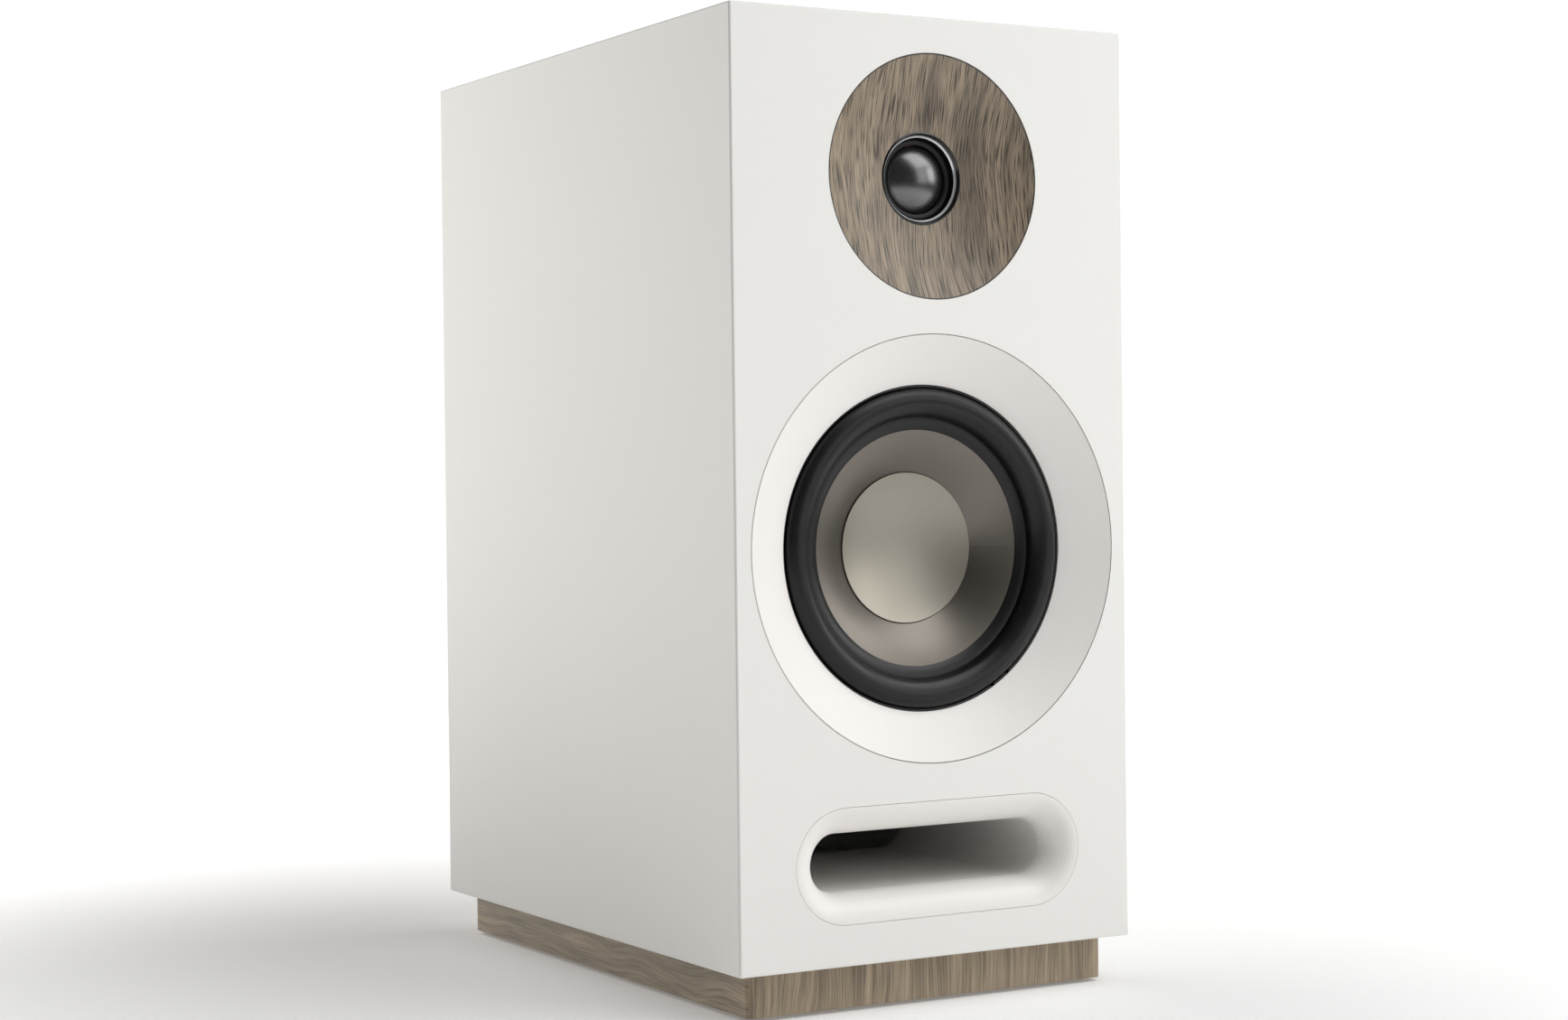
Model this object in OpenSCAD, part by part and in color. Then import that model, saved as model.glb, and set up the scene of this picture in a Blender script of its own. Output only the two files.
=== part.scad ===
// Two-way bookshelf speaker with a slot port and a wood-finish plinth.
// Origin: on the floor, below the middle of the whole object. The front faces -Y, up is +Z.

/* [Cabinet] */
// Width of the cabinet
body_w = 172; // [165:1:230]
// Depth of the cabinet, front face to rear face
body_d = 260; // [215:1:340]
// Height of the cabinet without the plinth
body_h = 348; // [330:1:440]
// Thickness of the front baffle
baffle_t = 22; // [18:1:28]
// Thickness of the side, top and bottom panels
panel_t = 12; // [9:1:18]
// Thickness of the rear panel
rear_t = 15; // [12:1:20]
// Radius of the cabinet's outer edges
edge_r = 0.8; // [0.4:0.1:3]

/* [Plinth and feet] */
// Height of the plinth
plinth_h = 16.5; // [12:0.5:25]
// How far the plinth stands in from the front and sides
plinth_inset = 7.6; // [4:0.1:15]
// How far the plinth stands in from the rear
plinth_rear_inset = 9.5; // [4:0.1:20]
// Radius of the plinth's upright corners
plinth_corner_r = 3; // [1:0.5:8]
// Height of a rubber foot
foot_h = 1.5; // [1:0.5:4]
// Radius of a rubber foot
foot_r = 7; // [5:0.5:12]
// How far a foot's centre stands in from the plinth's edges
foot_inset = 20; // [14:1:30]

/* [Tweeter] */
// Height of the tweeter's axis above the cabinet's underside
tweeter_h = 289.2; // [275:0.1:300]
// Width of the wood-finish disc, from its hole to its rim
disc_w = 28; // [26:0.1:31]
// Depth of the disc's dish at its hole
dish_depth = 8.7; // [6:0.1:10]
// Depth of the disc's flat back
disc_back = 11; // [10:0.5:12]
// Radius of the voice coil that the dome stands on
dome_r = 12.7; // [11:0.1:15.5]
// Height of the dome
dome_rise = 5.5; // [4.5:0.1:6.5]

/* [Woofer] */
// Height of the woofer's axis above the cabinet's underside
woofer_h = 151.4; // [146:0.1:156]
// Width of the dished trim ring
trim_w = 18.4; // [17:0.1:22]
// Depth of the trim ring's inner edge
trim_depth = 9.2; // [8:0.1:10]
// Radius of the cone's visible outer edge
cone_r = 44.3; // [36.5:0.1:47]
// Width of the surround's half roll
roll_w = 11; // [9:0.1:13.5]
// Depth of the cone's outer edge
cone_top = 14.4; // [14:0.1:15]
// Radius of the dust cap
cap_r = 28.3; // [23.5:0.1:34]
// How deep the dust cap is dished
cap_dish = 5.5; // [3:0.5:7]
// Inner radius of the voice coil's former
former_r = 16.1; // [13.4:0.1:19.5]
// Radius of the woofer's magnet
woofer_magnet_r = 45; // [37:1:54]
// Thickness of the woofer's magnet
woofer_magnet_t = 15; // [12:1:20]

/* [Port] */
// Height of the port's axis above the cabinet's underside
port_h = 36.6; // [34:0.1:40]
// Length of the slot's straight stretch
port_straight = 82; // [60:1:99]
// Width of the flange's flare
flare_w = 10.5; // [8.5:0.1:12]
// Half height of the duct inside
port_duct_r = 10.8; // [9:0.1:13]
// Depth of the duct's rear end
port_length = 113; // [80:1:150]
// Wall of the duct
port_wall = 2; // [1.5:0.1:3]

/* [Rear connection] */
// Height of the terminal cup's centre above the cabinet's underside
cup_h = 118; // [90:1:160]
// Width of the terminal cup's flange
cup_w = 96; // [80:1:116]
// Height of the terminal cup's flange
cup_tall = 72; // [68:1:90]
// Thickness of the terminal cup's flange
cup_flange_t = 2.5; // [2:0.1:4]
// Width of the flange around the recess
cup_rim = 12; // [10:0.5:16]
// Depth of the recess below the flange's outer face
cup_depth = 30; // [29:1:36]
// Wall of the terminal cup
cup_wall = 2.5; // [2:0.1:4]
// Distance between the two binding posts
post_spacing = 19; // [17:0.5:24]
// Radius of a post's stud
stud_r = 3.5; // [3:0.1:4.2]
// Radius of the socket in a post's end, for a 4 mm plug
socket_r = 2.05; // [2:0.01:2.2]
// Depth of the socket
socket_depth = 17; // [15:1:18]
// Wall of a knob around its thread
knob_wall = 3.5; // [3:0.1:4.2]
// Length of a knob
knob_l = 21; // [19:0.5:23]

/* [Crossover] */
// Width of the crossover board
board_w = 116; // [100:1:120]
// Height of the crossover board
board_tall = 86; // [80:1:100]
// Height of the board's centre above the cabinet's underside
board_h = 222; // [215:1:240]

/* [Fits] */
// Gap at the seam around a part that sits in the baffle
seam = 0.15; // [0.1:0.05:0.4]
// Clearance around a screw in its hole
screw_gap = 0.05; // [0.02:0.01:0.1]
// Running clearance between a knob and its stud
knob_gap = 0.05; // [0.03:0.01:0.08]
// Clearance around a piece inside the cabinet
loose_gap = 0.5; // [0.3:0.1:1]

/* [Hidden] */

$fn = 96;
// A cut goes this far past the face it opens
past = 1;

// --- where the main faces are ---
overall_d = body_d + cup_flange_t;
front_y = -overall_d / 2;
rear_y = front_y + body_d;
rear_inside_y = rear_y - rear_t;
base_z = foot_h + plinth_h;
tweeter_z = base_z + tweeter_h;
woofer_z = base_z + woofer_h;
port_z = base_z + port_h;
cup_z = base_z + cup_h;
board_z = base_z + board_h;

// --- screws: the radius of each kind, and where they stand ---
tweeter_screw = 1.5;
woofer_screw = 1.8;
cup_screw = 1.6;
board_screw = 1.4;
plinth_screw = 2;
tweeter_screws_from = 45;                // angle of the first screw
woofer_screws_from = 30;
hole_rest = 2;                           // material left beyond a blind hole
screw_rest = hole_rest + 1;              // and beyond the screw's point
screw_short = 0.5;                       // a woofer screw ends this far inside the baffle's back
csk_reach = 10;                          // a countersunk hole's depth through a thin part
plinth_sink = 5;                         // depth of a plinth screw's counterbore
plinth_head_r = 2 * plinth_screw;
plinth_head_t = 2.4;
plinth_screw_side = 14;                  // from the plinth's edges to its screws
plinth_screw_front = 46;
plinth_screw_rear = 36;

// --- tweeter, depths behind the front face ---
flange_t = 0.6;                          // clamped rim of the dome's surround
flange_in = dome_r + 2.9;
flange_out = flange_in + 2.6;
disc_hole_r = flange_in + 1.8;
disc_r = disc_hole_r + disc_w;
plate_t = 3;
plate_r = disc_r - 2.2;
plate_land = 6.2;                        // width of the plate's seat on the baffle
plate_back = disc_back + plate_t;
gasket_t = 1;
tweeter_bore_r = plate_r - plate_land;
tweeter_magnet_r = tweeter_bore_r - 2;
tweeter_screw_r = plate_r - 4.2;         // circle that the screws stand on
tweeter_gap_in = dome_r + 0.65;          // top plate's bore
tweeter_plate_steel = 4;
tweeter_magnet_t = 12;
tweeter_steel_back = plate_back + tweeter_plate_steel + tweeter_magnet_t;
tweeter_yoke_t = 4;
magnet_room = 4;                         // from the coil to the magnet's bore
steel_in = 2;                            // how far a steel plate stays inside its magnet's edge
dome_foot = plate_back - 0.3;            // depth of the dome's rim
dome_sphere = (dome_r * dome_r + dome_rise * dome_rise) / (2 * dome_rise);
tweeter_surround_in = dome_r + 0.1;

// --- woofer, depths behind the front face ---
trim_back = 12;
trim_lip = 0.6;
surround_t = 0.6;
surround_in = cone_r + 4.7;
surround_out = surround_in + roll_w;
clamp_in = surround_out + 0.4;
trim_hole_r = clamp_in + 0.7;
trim_r = trim_hole_r + trim_w;
clamp_out = trim_hole_r + 3;
roll_rise = 5;
basket_flange_t = 4;
basket_r = trim_r - 7;
basket_back = trim_back + basket_flange_t;
basket_hole_r = trim_hole_r + 2.4;       // hole in the baffle behind the basket's flange
woofer_screw_r = (basket_r + basket_hole_r) / 2;
spider_depth = 42;
spider_out = cone_r - 2.3;
spider_t = 0.4;
shelf = spider_depth + spider_t;         // where the spider's rim lands
sill = 2;                                // height of the basket's wall above the shelf
basket_floor = 50;
basket_floor_t = 2.5;
basket_wall_out = 4.5;                   // outside of the wall at the shelf, beyond the spider's rim
legs = 6;
leg_w = 12;
former_t = 0.3;
former_end = basket_floor + 10;
winding_t = 0.5;
winding_l = 10;
winding_gap = 0.45;                      // around the winding in the top plate's bore
woofer_gap_in = former_r + former_t + winding_t + winding_gap;
woofer_steel_t = 6;
woofer_magnet_top = basket_floor + woofer_steel_t;
woofer_magnet_back = woofer_magnet_top + woofer_magnet_t;
pole_r = former_r - 0.4;
cone_t = 0.6;
cone_neck_r = former_r + former_t;
cone_lip_r = surround_in - 0.6;
cone_slope = 0.32;                       // slope at the visible edge
cone_flare = 0.0113;                     // how fast it steepens towards the middle

// --- port ---
port_flange_r = port_duct_r + flare_w;
flare_depth = 12;
flange_edge_t = 5;
spigot_r = port_duct_r + port_wall + 1.8;
spigot_depth = 30;

// --- rear connection ---
cup_floor_y = rear_y + cup_flange_t - cup_depth;   // outer face of the recess's floor
cup_corner_r = 6;                        // of the flange
recess_r = 3;                            // corner radius of the recess
tail_r = 2.5;                            // threaded tail of a post, behind the cup's floor
collar_t = 2;
collar_r = stud_r + 2.5;
knob_r = stud_r + knob_wall;
stud_l = socket_depth + 3;               // above the collar
washer_t = 1.2;
washer_lift = 0.35;                      // gap under the washer when the knob is screwed down
knob_start = collar_t + washer_lift + washer_t + 0.35;
knob_mouth_r = socket_r + 0.6;
knob_cap = knob_start + knob_l - (collar_t + stud_l) - 0.5;
wire_hole_r = 1.4;
stud_tail = 12;

// Depth of the woofer cone's front face at radius r
function cone_depth(r) = cone_top + cone_slope * (cone_r - r) + cone_flare * pow(max(cone_r - r, 0), 2);
// Radius of the basket's outside at a depth between its flange and its shelf
function basket_outside(depth) = spider_out + basket_wall_out
    + (basket_hole_r - 1 - basket_wall_out - spider_out) * (shelf - depth) / (shelf - basket_back);
function steps(from, to, count) = [for (i = [0:count]) from + (to - from) * i / count];
function reversed(list) = [for (i = [len(list) - 1:-1:0]) list[i]];

// --- helpers ---

// Puts a driver's axis on the front face, pointing out of it
module on_front(height) translate([0, front_y, height]) rotate([90, 0, 0]) children();

// A turned piece on a driver's axis; points are [radius, depth behind the front face]
module turned(points) rotate_extrude() polygon([for (p = points) [p[0], -p[1]]]);

// A round hole or disc between two depths
module disc(r, from, to) translate([0, 0, -to]) cylinder(r = r, h = to - from);

module ring(r_out, r_in, from, to) turned([[r_in, from], [r_out, from], [r_out, to], [r_in, to]]);

// A ring with straight sides; points are [distance from the slot's middle line, depth]
module slotted(points) {
    profile = [for (p = points) [p[0], -p[1]]];
    for (side = [-1, 1]) {
        translate([side * port_straight / 2, 0, 0]) rotate([0, 0, -90 * side])
            rotate_extrude(angle = 180) polygon(profile);
        mirror([0, side < 0 ? 1 : 0, 0]) rotate([90, 0, 90])
            linear_extrude(port_straight, center = true) polygon(profile);
    }
}

// A solid slot between two depths
module slot(r, from, to) {
    for (side = [-1, 1]) translate([side * port_straight / 2, 0, 0]) disc(r, from, to);
    translate([-port_straight / 2, -r, -to]) cube([port_straight, 2 * r, to - from]);
}

module rounded_rect(w, h, r) {
    square([w - 2 * r, h], center = true);
    square([w, h - 2 * r], center = true);
    for (x = [-1, 1], y = [-1, 1]) translate([x * (w / 2 - r), y * (h / 2 - r)]) circle(r);
}

// A block with rounded corners that stands between two Y faces
module upright_block(w, h, r, y_from, y_to, z) {
    translate([0, y_to, z]) rotate([90, 0, 0]) linear_extrude(y_to - y_from) rounded_rect(w, h, r);
}

// Children at equal steps on a circle about the driver's axis
module around(count, r, first = 0) {
    for (i = [0:count - 1]) rotate([0, 0, first + 360 * i / count]) translate([r, 0, 0]) children();
}

module at_tweeter_screws() around(4, tweeter_screw_r, tweeter_screws_from) children();

module at_woofer_screws() around(6, woofer_screw_r, woofer_screws_from) children();

// Children at the four corners of the plinth, in by the given distances
module in_plinth(side, front, rear) {
    for (x = [-1, 1], y = [front_y + plinth_inset + front, rear_y - plinth_rear_inset - rear])
        translate([x * (body_w / 2 - plinth_inset - side), y, 0]) children();
}

module at_plinth_screws() in_plinth(plinth_screw_side, plinth_screw_front, plinth_screw_rear) children();

module at_feet() in_plinth(foot_inset, foot_inset, foot_inset) children();

// A countersunk screw: head flush at depth 0, pointing down -Z
module csk_screw(r, length) {
    translate([0, 0, -length]) cylinder(r = r, h = length - r);
    translate([0, 0, -r]) cylinder(r1 = r, r2 = 2 * r, h = r);
}

module csk_hole(r, length, gap) {
    translate([0, 0, -length - gap]) cylinder(r = r + gap, h = length + gap + past);
    translate([0, 0, -r - gap]) cylinder(r1 = r + gap, r2 = 2 * (r + gap), h = r + gap);
    translate([0, 0, 0]) cylinder(r = 2 * (r + gap), h = past);
}

// --- the cabinet's envelope: its six faces with rounded edges ---

module envelope() {
    mid_y = front_y + body_d / 2;
    mid_z = base_z + body_h / 2;
    intersection() {
        upright_block(body_w, body_h, edge_r, front_y, rear_y, mid_z);
        translate([0, mid_y, base_z]) linear_extrude(body_h) rounded_rect(body_w, body_d, edge_r);
        translate([-body_w / 2, mid_y, mid_z]) rotate([90, 0, 90])
            linear_extrude(body_w) rounded_rect(body_d, body_h, edge_r);
    }
}

module panel(from, to) {
    color([0.91, 0.9, 0.88]) intersection() {
        envelope();
        translate(from) cube(to - from);
    }
}

side_front_y = front_y + baffle_t;
inner_w = body_w - 2 * panel_t;

module front_baffle() {
    color([0.91, 0.9, 0.88]) difference() {
        panel([-body_w, front_y - past, base_z - past], [body_w, side_front_y, base_z + body_h + past]);
        on_front(tweeter_z) {
            disc(disc_r + seam, -past, disc_back);
            disc(plate_r + seam, 0, plate_back + gasket_t);
            disc(tweeter_bore_r, 0, baffle_t + past);
            at_tweeter_screws() disc(tweeter_screw + screw_gap, 0, baffle_t - hole_rest);
        }
        on_front(woofer_z) {
            disc(trim_r + seam, -past, trim_back);
            disc(basket_r + seam, 0, basket_back + gasket_t);
            disc(basket_hole_r, 0, baffle_t + past);
            at_woofer_screws() disc(woofer_screw + screw_gap, 0, baffle_t + past);
        }
        on_front(port_z) {
            slot(port_flange_r + seam, -past, flange_edge_t);
            slot(spigot_r + seam, 0, baffle_t + past);
        }
    }
}

module side_panel(side) {
    inner = side * (body_w / 2 - panel_t);
    outer = side * body_w;
    panel([min(inner, outer), side_front_y, base_z - past],
        [max(inner, outer), rear_inside_y, base_z + body_h + past]);
}

module left_side_panel() side_panel(-1);

module right_side_panel() side_panel(1);

module top_panel() {
    panel([-inner_w / 2, side_front_y, base_z + body_h - panel_t],
        [inner_w / 2, rear_inside_y, base_z + body_h + past]);
}

module bottom_panel() {
    color([0.91, 0.9, 0.88]) difference() {
        panel([-inner_w / 2, side_front_y, base_z - past], [inner_w / 2, rear_inside_y, base_z + panel_t]);
        at_plinth_screws() translate([0, 0, base_z - past])
            cylinder(r = plinth_screw + screw_gap, h = panel_t - hole_rest + past);
    }
}

module rear_panel() {
    color([0.91, 0.9, 0.88]) difference() {
        panel([-body_w, rear_inside_y, base_z - past], [body_w, rear_y + past, base_z + body_h + past]);
        cup_block(cup_wall + loose_gap, rear_inside_y - past, rear_y + past);
        at_cup_screws() translate([0, 0, -rear_t + hole_rest])
            cylinder(r = cup_screw + screw_gap, h = rear_t);
        at_board_corners() translate([0, 0, -past])
            cylinder(r = board_screw + screw_gap, h = board_screw_bite + past);
    }
}

// --- plinth, feet ---

module plinth() {
    w = body_w - 2 * plinth_inset;
    d = body_d - plinth_inset - plinth_rear_inset;
    color([0.55, 0.48, 0.4]) difference() {
        translate([0, front_y + plinth_inset + d / 2, foot_h]) linear_extrude(plinth_h)
            rounded_rect(w, d, plinth_corner_r);
        at_plinth_screws() {
            translate([0, 0, foot_h - past]) cylinder(r = plinth_screw + screw_gap, h = plinth_h + 2 * past);
            translate([0, 0, foot_h - past]) cylinder(r = plinth_head_r + loose_gap, h = past + plinth_sink);
        }
    }
}

module plinth_screws() {
    key_r = 1.5;
    key_depth = 1;
    color([0.3, 0.3, 0.32]) at_plinth_screws() translate([0, 0, foot_h + plinth_sink - plinth_head_t])
        difference() {
            union() {
                cylinder(r = plinth_head_r, h = plinth_head_t);
                cylinder(r = plinth_screw, h = plinth_h - plinth_sink + plinth_head_t + panel_t - screw_rest);
            }
            translate([0, 0, -past]) cylinder(r = key_r, h = key_depth + past, $fn = 6);
        }
}

module rubber_feet() {
    color([0.1, 0.1, 0.1]) at_feet() {
        translate([0, 0, foot_h / 3]) cylinder(r = foot_r, h = foot_h * 2 / 3);
        cylinder(r1 = foot_r - foot_h / 3, r2 = foot_r, h = foot_h / 3);
    }
}

// A soft pad in the top of the cabinet, behind the tweeter
module acoustic_wadding() {
    gap = 3;
    pad_d = 60;
    behind_cup = 30;                      // from the rear cup's rim to the pad
    below_axis = 50;                      // from the tweeter's axis down to the pad's underside
    pad_front = front_y + rear_cup_from + behind_cup;
    pad_z = tweeter_z - below_axis;
    color([0.8, 0.8, 0.78]) translate([-inner_w / 2 + gap, pad_front, pad_z])
        cube([inner_w - 2 * gap, pad_d, base_z + body_h - panel_t - gap - pad_z]);
}

module foam_gaskets() {
    gap = 0.3;                            // inner edge, back from the hole it lines
    color([0.12, 0.12, 0.12]) {
        on_front(tweeter_z) difference() {
            ring(plate_r, tweeter_bore_r + gap, plate_back, plate_back + gasket_t);
            at_tweeter_screws() disc(tweeter_screw + screw_gap, 0, baffle_t);
        }
        on_front(woofer_z) difference() {
            ring(basket_r, basket_hole_r + gap, basket_back, basket_back + gasket_t);
            at_woofer_screws() disc(woofer_screw + screw_gap, 0, baffle_t);
        }
    }
}

// --- tweeter ---

// The dished disc around the tweeter: the dish is an arc from its rim to its hole
module tweeter_disc() {
    bow = 1.2;                            // how far the dish bows below a straight cone
    dish = [for (t = steps(0, 1, 16)) [disc_r - disc_w * t, dish_depth * t + bow * sin(180 * t)]];
    color([0.55, 0.48, 0.4]) on_front(tweeter_z)
        turned(concat(dish, [[disc_hole_r, disc_back], [disc_r, disc_back]]));
}

// Gloss ring in the disc's hole: a proud bead, then a wall that falls to the surround
module tweeter_ring() {
    bead = 0.5;                           // width of the bead
    out = disc_hole_r - screw_gap;
    lip = out - 3 * bead;
    color([0.05, 0.05, 0.05]) on_front(tweeter_z)
        turned([[out, dish_depth], [out - bead, dish_depth - bead / 2],
            [lip + bead / 2, dish_depth + 1.5 * bead],
            [lip, dish_depth + 2.5 * bead], [lip - bead, disc_back - bead], [lip - bead, disc_back],
                [out, disc_back]]);
}

module tweeter_plate() {
    in = flange_in + seam;
    seat = flange_out + seam;
    color([0.06, 0.06, 0.06]) on_front(tweeter_z) difference() {
        turned([[in, disc_back], [plate_r, disc_back], [plate_r, plate_back], [seat, plate_back],
            [seat, plate_back - flange_t], [in, plate_back - flange_t]]);
        at_tweeter_screws() translate([0, 0, -disc_back]) csk_hole(tweeter_screw, csk_reach, screw_gap);
    }
}

module tweeter_screws() {
    color([0.2, 0.2, 0.2]) on_front(tweeter_z)
        at_tweeter_screws() translate([0, 0, -disc_back]) csk_screw(tweeter_screw,
            baffle_t - disc_back - screw_rest);
}

// Depth of the dome at radius r
function dome_depth(r) = dome_foot - dome_rise + dome_sphere - sqrt(dome_sphere * dome_sphere - r * r);

module tweeter_dome() {
    skin = 0.25;
    color([0.05, 0.05, 0.05]) on_front(tweeter_z)
        turned(concat([for (r = steps(0, dome_r, 20)) [r, dome_depth(r)]],
            [for (r = steps(dome_r, 0, 20)) [r, dome_depth(r) + skin]]));
}

// Half roll from the dome's rim to the clamped flange
module tweeter_surround() {
    skin = 0.2;
    mid = (flange_in + tweeter_surround_in) / 2;
    half = (flange_in - tweeter_surround_in) / 2;
    top = plate_back - flange_t;
    rise = 1.1;
    arc = [for (a = steps(180, 0, 12)) [mid + half * cos(a), top - rise * sin(a)]];
    under = [for (a = steps(0, 180, 12)) [mid + (half - skin) * cos(a), top + skin - rise * sin(a)]];
    color([0.08, 0.08, 0.08]) on_front(tweeter_z) turned(concat(arc,
        [[flange_out, top], [flange_out, plate_back - 0.1], [flange_in, plate_back - 0.1]], under));
}

module tweeter_voice_coil() {
    former = 0.15;
    winding = 0.25;
    top = dome_foot + flange_t / 2;
    wound_from = plate_back + 1;
    wound_to = plate_back + tweeter_plate_steel - 0.4;
    color([0.72, 0.45, 0.25]) on_front(tweeter_z)
        turned([[dome_r - former, top], [dome_r, top], [dome_r, wound_from], [dome_r + winding, wound_from],
            [dome_r + winding, wound_to], [dome_r - former, wound_to]]);
}

module tweeter_top_plate() {
    color([0.6, 0.6, 0.62]) on_front(tweeter_z)
        ring(tweeter_magnet_r, tweeter_gap_in, plate_back, plate_back + tweeter_plate_steel);
}

module tweeter_magnet() {
    color([0.15, 0.15, 0.16]) on_front(tweeter_z)
        ring(tweeter_magnet_r, dome_r + magnet_room, plate_back + tweeter_plate_steel, tweeter_steel_back);
}

module tweeter_yoke() {
    pole = dome_r - 0.5;
    top = plate_back + 0.8;
    vent = 4;
    back = tweeter_steel_back + tweeter_yoke_t;
    rim = tweeter_magnet_r - steel_in;
    color([0.6, 0.6, 0.62]) on_front(tweeter_z)
        turned([[vent, top], [pole, top], [pole, tweeter_steel_back], [rim, tweeter_steel_back], [rim, back],
            [vent, back]]);
}

rear_cup_from = tweeter_steel_back + tweeter_yoke_t;
rear_cup_r = 20;

module tweeter_rear_cup() {
    wall = 1.6;
    tall = 16;
    color([0.08, 0.08, 0.08]) on_front(tweeter_z)
        turned([[rear_cup_r - wall, rear_cup_from], [rear_cup_r, rear_cup_from],
            [rear_cup_r, rear_cup_from + tall],
            [0, rear_cup_from + tall], [0, rear_cup_from + tall - wall],
            [rear_cup_r - wall, rear_cup_from + tall - wall]]);
}

tab_w = 2.8;
tab_t = 0.6;
tweeter_tab_x = 6;
tab_l = 8;
tab_block = [20, 8, 5];                   // block that holds the tweeter's two tabs
tweeter_tab_y = rear_cup_r + tab_block[1] / 2 + 2.5;   // below the tweeter's axis, clear of the rear cup

module tweeter_terminals() {
    back = rear_cup_from + tab_block[2];
    on_front(tweeter_z) {
        color([0.08, 0.08, 0.08]) translate([-tab_block[0] / 2, -tweeter_tab_y - tab_block[1] / 2, -back])
            cube(tab_block);
        color([0.8, 0.78, 0.7]) for (side = [-1, 1])
            translate([side * tweeter_tab_x - tab_w / 2, -tweeter_tab_y - tab_t / 2, -back - tab_l])
                cube([tab_w, tab_t, tab_l]);
    }
}

// --- woofer ---

module woofer_trim_ring() {
    relief = clamp_out + 0.3;
    bevel = 0.3;                          // at the ring's outer edge
    color([0.9, 0.89, 0.87]) on_front(woofer_z)
        turned([[trim_hole_r, trim_depth], [trim_r - 2 * bevel, bevel / 2], [trim_r - bevel, 0],
            [trim_r, bevel],
            [trim_r, trim_back], [relief, trim_back], [relief, trim_depth + trim_lip],
            [trim_hole_r, trim_depth + trim_lip]]);
}

module woofer_clamp_ring() {
    notch = 1.6;
    notch_angles = [-60, -52];
    from = trim_depth + trim_lip + 0.1;
    color([0.07, 0.07, 0.07]) on_front(woofer_z) difference() {
        ring(clamp_out, clamp_in, from, trim_back - surround_t);
        for (a = notch_angles) rotate([0, 0, a]) translate([clamp_in, 0, -from])
            cube(notch * [1, 1, 2], center = true);
    }
}

// Rubber half roll: clamped flange, roll, valley and the lip glued on the cone
module woofer_surround() {
    mid = (surround_out + surround_in) / 2;
    half = roll_w / 2;
    outer_foot = trim_back - surround_t;
    inner_foot = cone_depth(surround_in) - 0.2;
    glue = 0.02;                          // the lip stands this far off the cone
    slope = (outer_foot - inner_foot) / roll_w;
    function foot(x) = outer_foot + slope * (x - surround_out);
    arc = [for (a = steps(0, 180, 24)) let (x = mid + half * cos(a)) [x, foot(x) - roll_rise * sin(a)]];
    under = [for (a = steps(180, 0, 24)) let (x = mid + (half - surround_t) * cos(a))
        [x, foot(x) + surround_t - roll_rise * sin(a)]];
    color([0.09, 0.09, 0.09]) on_front(woofer_z) turned(concat(
        [[clamp_out, trim_back], [clamp_out, outer_foot]], arc,
        [[cone_r, cone_top - surround_t / 2], [cone_r, cone_top - glue],
            [cone_lip_r, cone_depth(cone_lip_r) - glue]],
        under, [[surround_out - 0.2, trim_back]]));
}

module woofer_cone() {
    face = [for (r = steps(cone_lip_r, cone_neck_r, 24)) [r, cone_depth(r)]];
    back = [for (r = steps(cone_neck_r, cone_lip_r, 24)) [r, cone_depth(r) + cone_t]];
    color([0.42, 0.4, 0.37]) on_front(woofer_z) turned(concat(face, back));
}

cap_seat = cone_depth(cap_r) - 0.05;
cap_sphere = (cap_r * cap_r + cap_dish * cap_dish) / (2 * cap_dish);
function cap_depth(r) = cap_seat - 0.55 + cap_dish - cap_sphere + sqrt(cap_sphere * cap_sphere - r * r);

module woofer_dust_cap() {
    skin = 0.5;
    color([0.5, 0.48, 0.44]) on_front(woofer_z)
        turned(concat([for (r = steps(0, cap_r, 20)) [r, cap_depth(r)]],
            [for (r = steps(cap_r, 0, 20)) [r, cap_depth(r) + skin]]));
}

module woofer_coil_former() {
    color([0.75, 0.72, 0.6]) on_front(woofer_z)
        ring(former_r + former_t, former_r, cone_depth(cone_neck_r) + cone_t, former_end);
}

module woofer_voice_coil() {
    color([0.72, 0.45, 0.25]) on_front(woofer_z)
        ring(former_r + former_t + winding_t, former_r + former_t, former_end - 1 - winding_l,
            former_end - 1);
}

// Corrugated centring disc between the former and the basket's shelf
module woofer_spider() {
    waves = 5;
    amp = 1.2;
    rim = 4;
    inner = former_r + former_t;
    span = spider_out - rim - inner - 1;
    function wave(t) = spider_depth + amp * sin(360 * waves * t);
    top = [for (t = steps(0, 1, waves * 8)) [inner + 1 + span * t, wave(t)]];
    low = [for (p = reversed(top)) [p[0], p[1] + spider_t]];
    color([0.75, 0.6, 0.3]) on_front(woofer_z)
        turned(concat([[inner, spider_depth]], top, [[spider_out, spider_depth], [spider_out, shelf]],
            low, [[inner, shelf]]));
}

// Cast basket: flange, six legs, a shelf for the spider and a floor that holds the motor
module woofer_basket() {
    flange_in_r = surround_out + 0.2;
    seat = 4;                             // width of the shelf under the spider's rim
    floor_in = woofer_gap_in + 4;
    window_from = basket_back + 3;
    window_to = shelf - sill;
    color([0.2, 0.2, 0.21]) on_front(woofer_z) difference() {
        turned([[flange_in_r, trim_back], [basket_r, trim_back], [basket_r, basket_back],
            [basket_hole_r - 1, basket_back], [basket_outside(shelf), shelf], [spider_out + 2, basket_floor],
            [floor_in, basket_floor], [floor_in, basket_floor - basket_floor_t],
            [spider_out - seat, basket_floor - basket_floor_t], [spider_out - seat, shelf],
            [spider_out + 1.5, shelf], [flange_in_r - 1, basket_back]]);
        for (i = [0:legs - 1]) rotate([0, 0, 360 * i / legs]) translate([0, 0, -window_to])
            window_cut(window_to - window_from);
        at_woofer_screws() translate([0, 0, -trim_back]) csk_hole(woofer_screw, csk_reach, screw_gap);
    }
}

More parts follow.
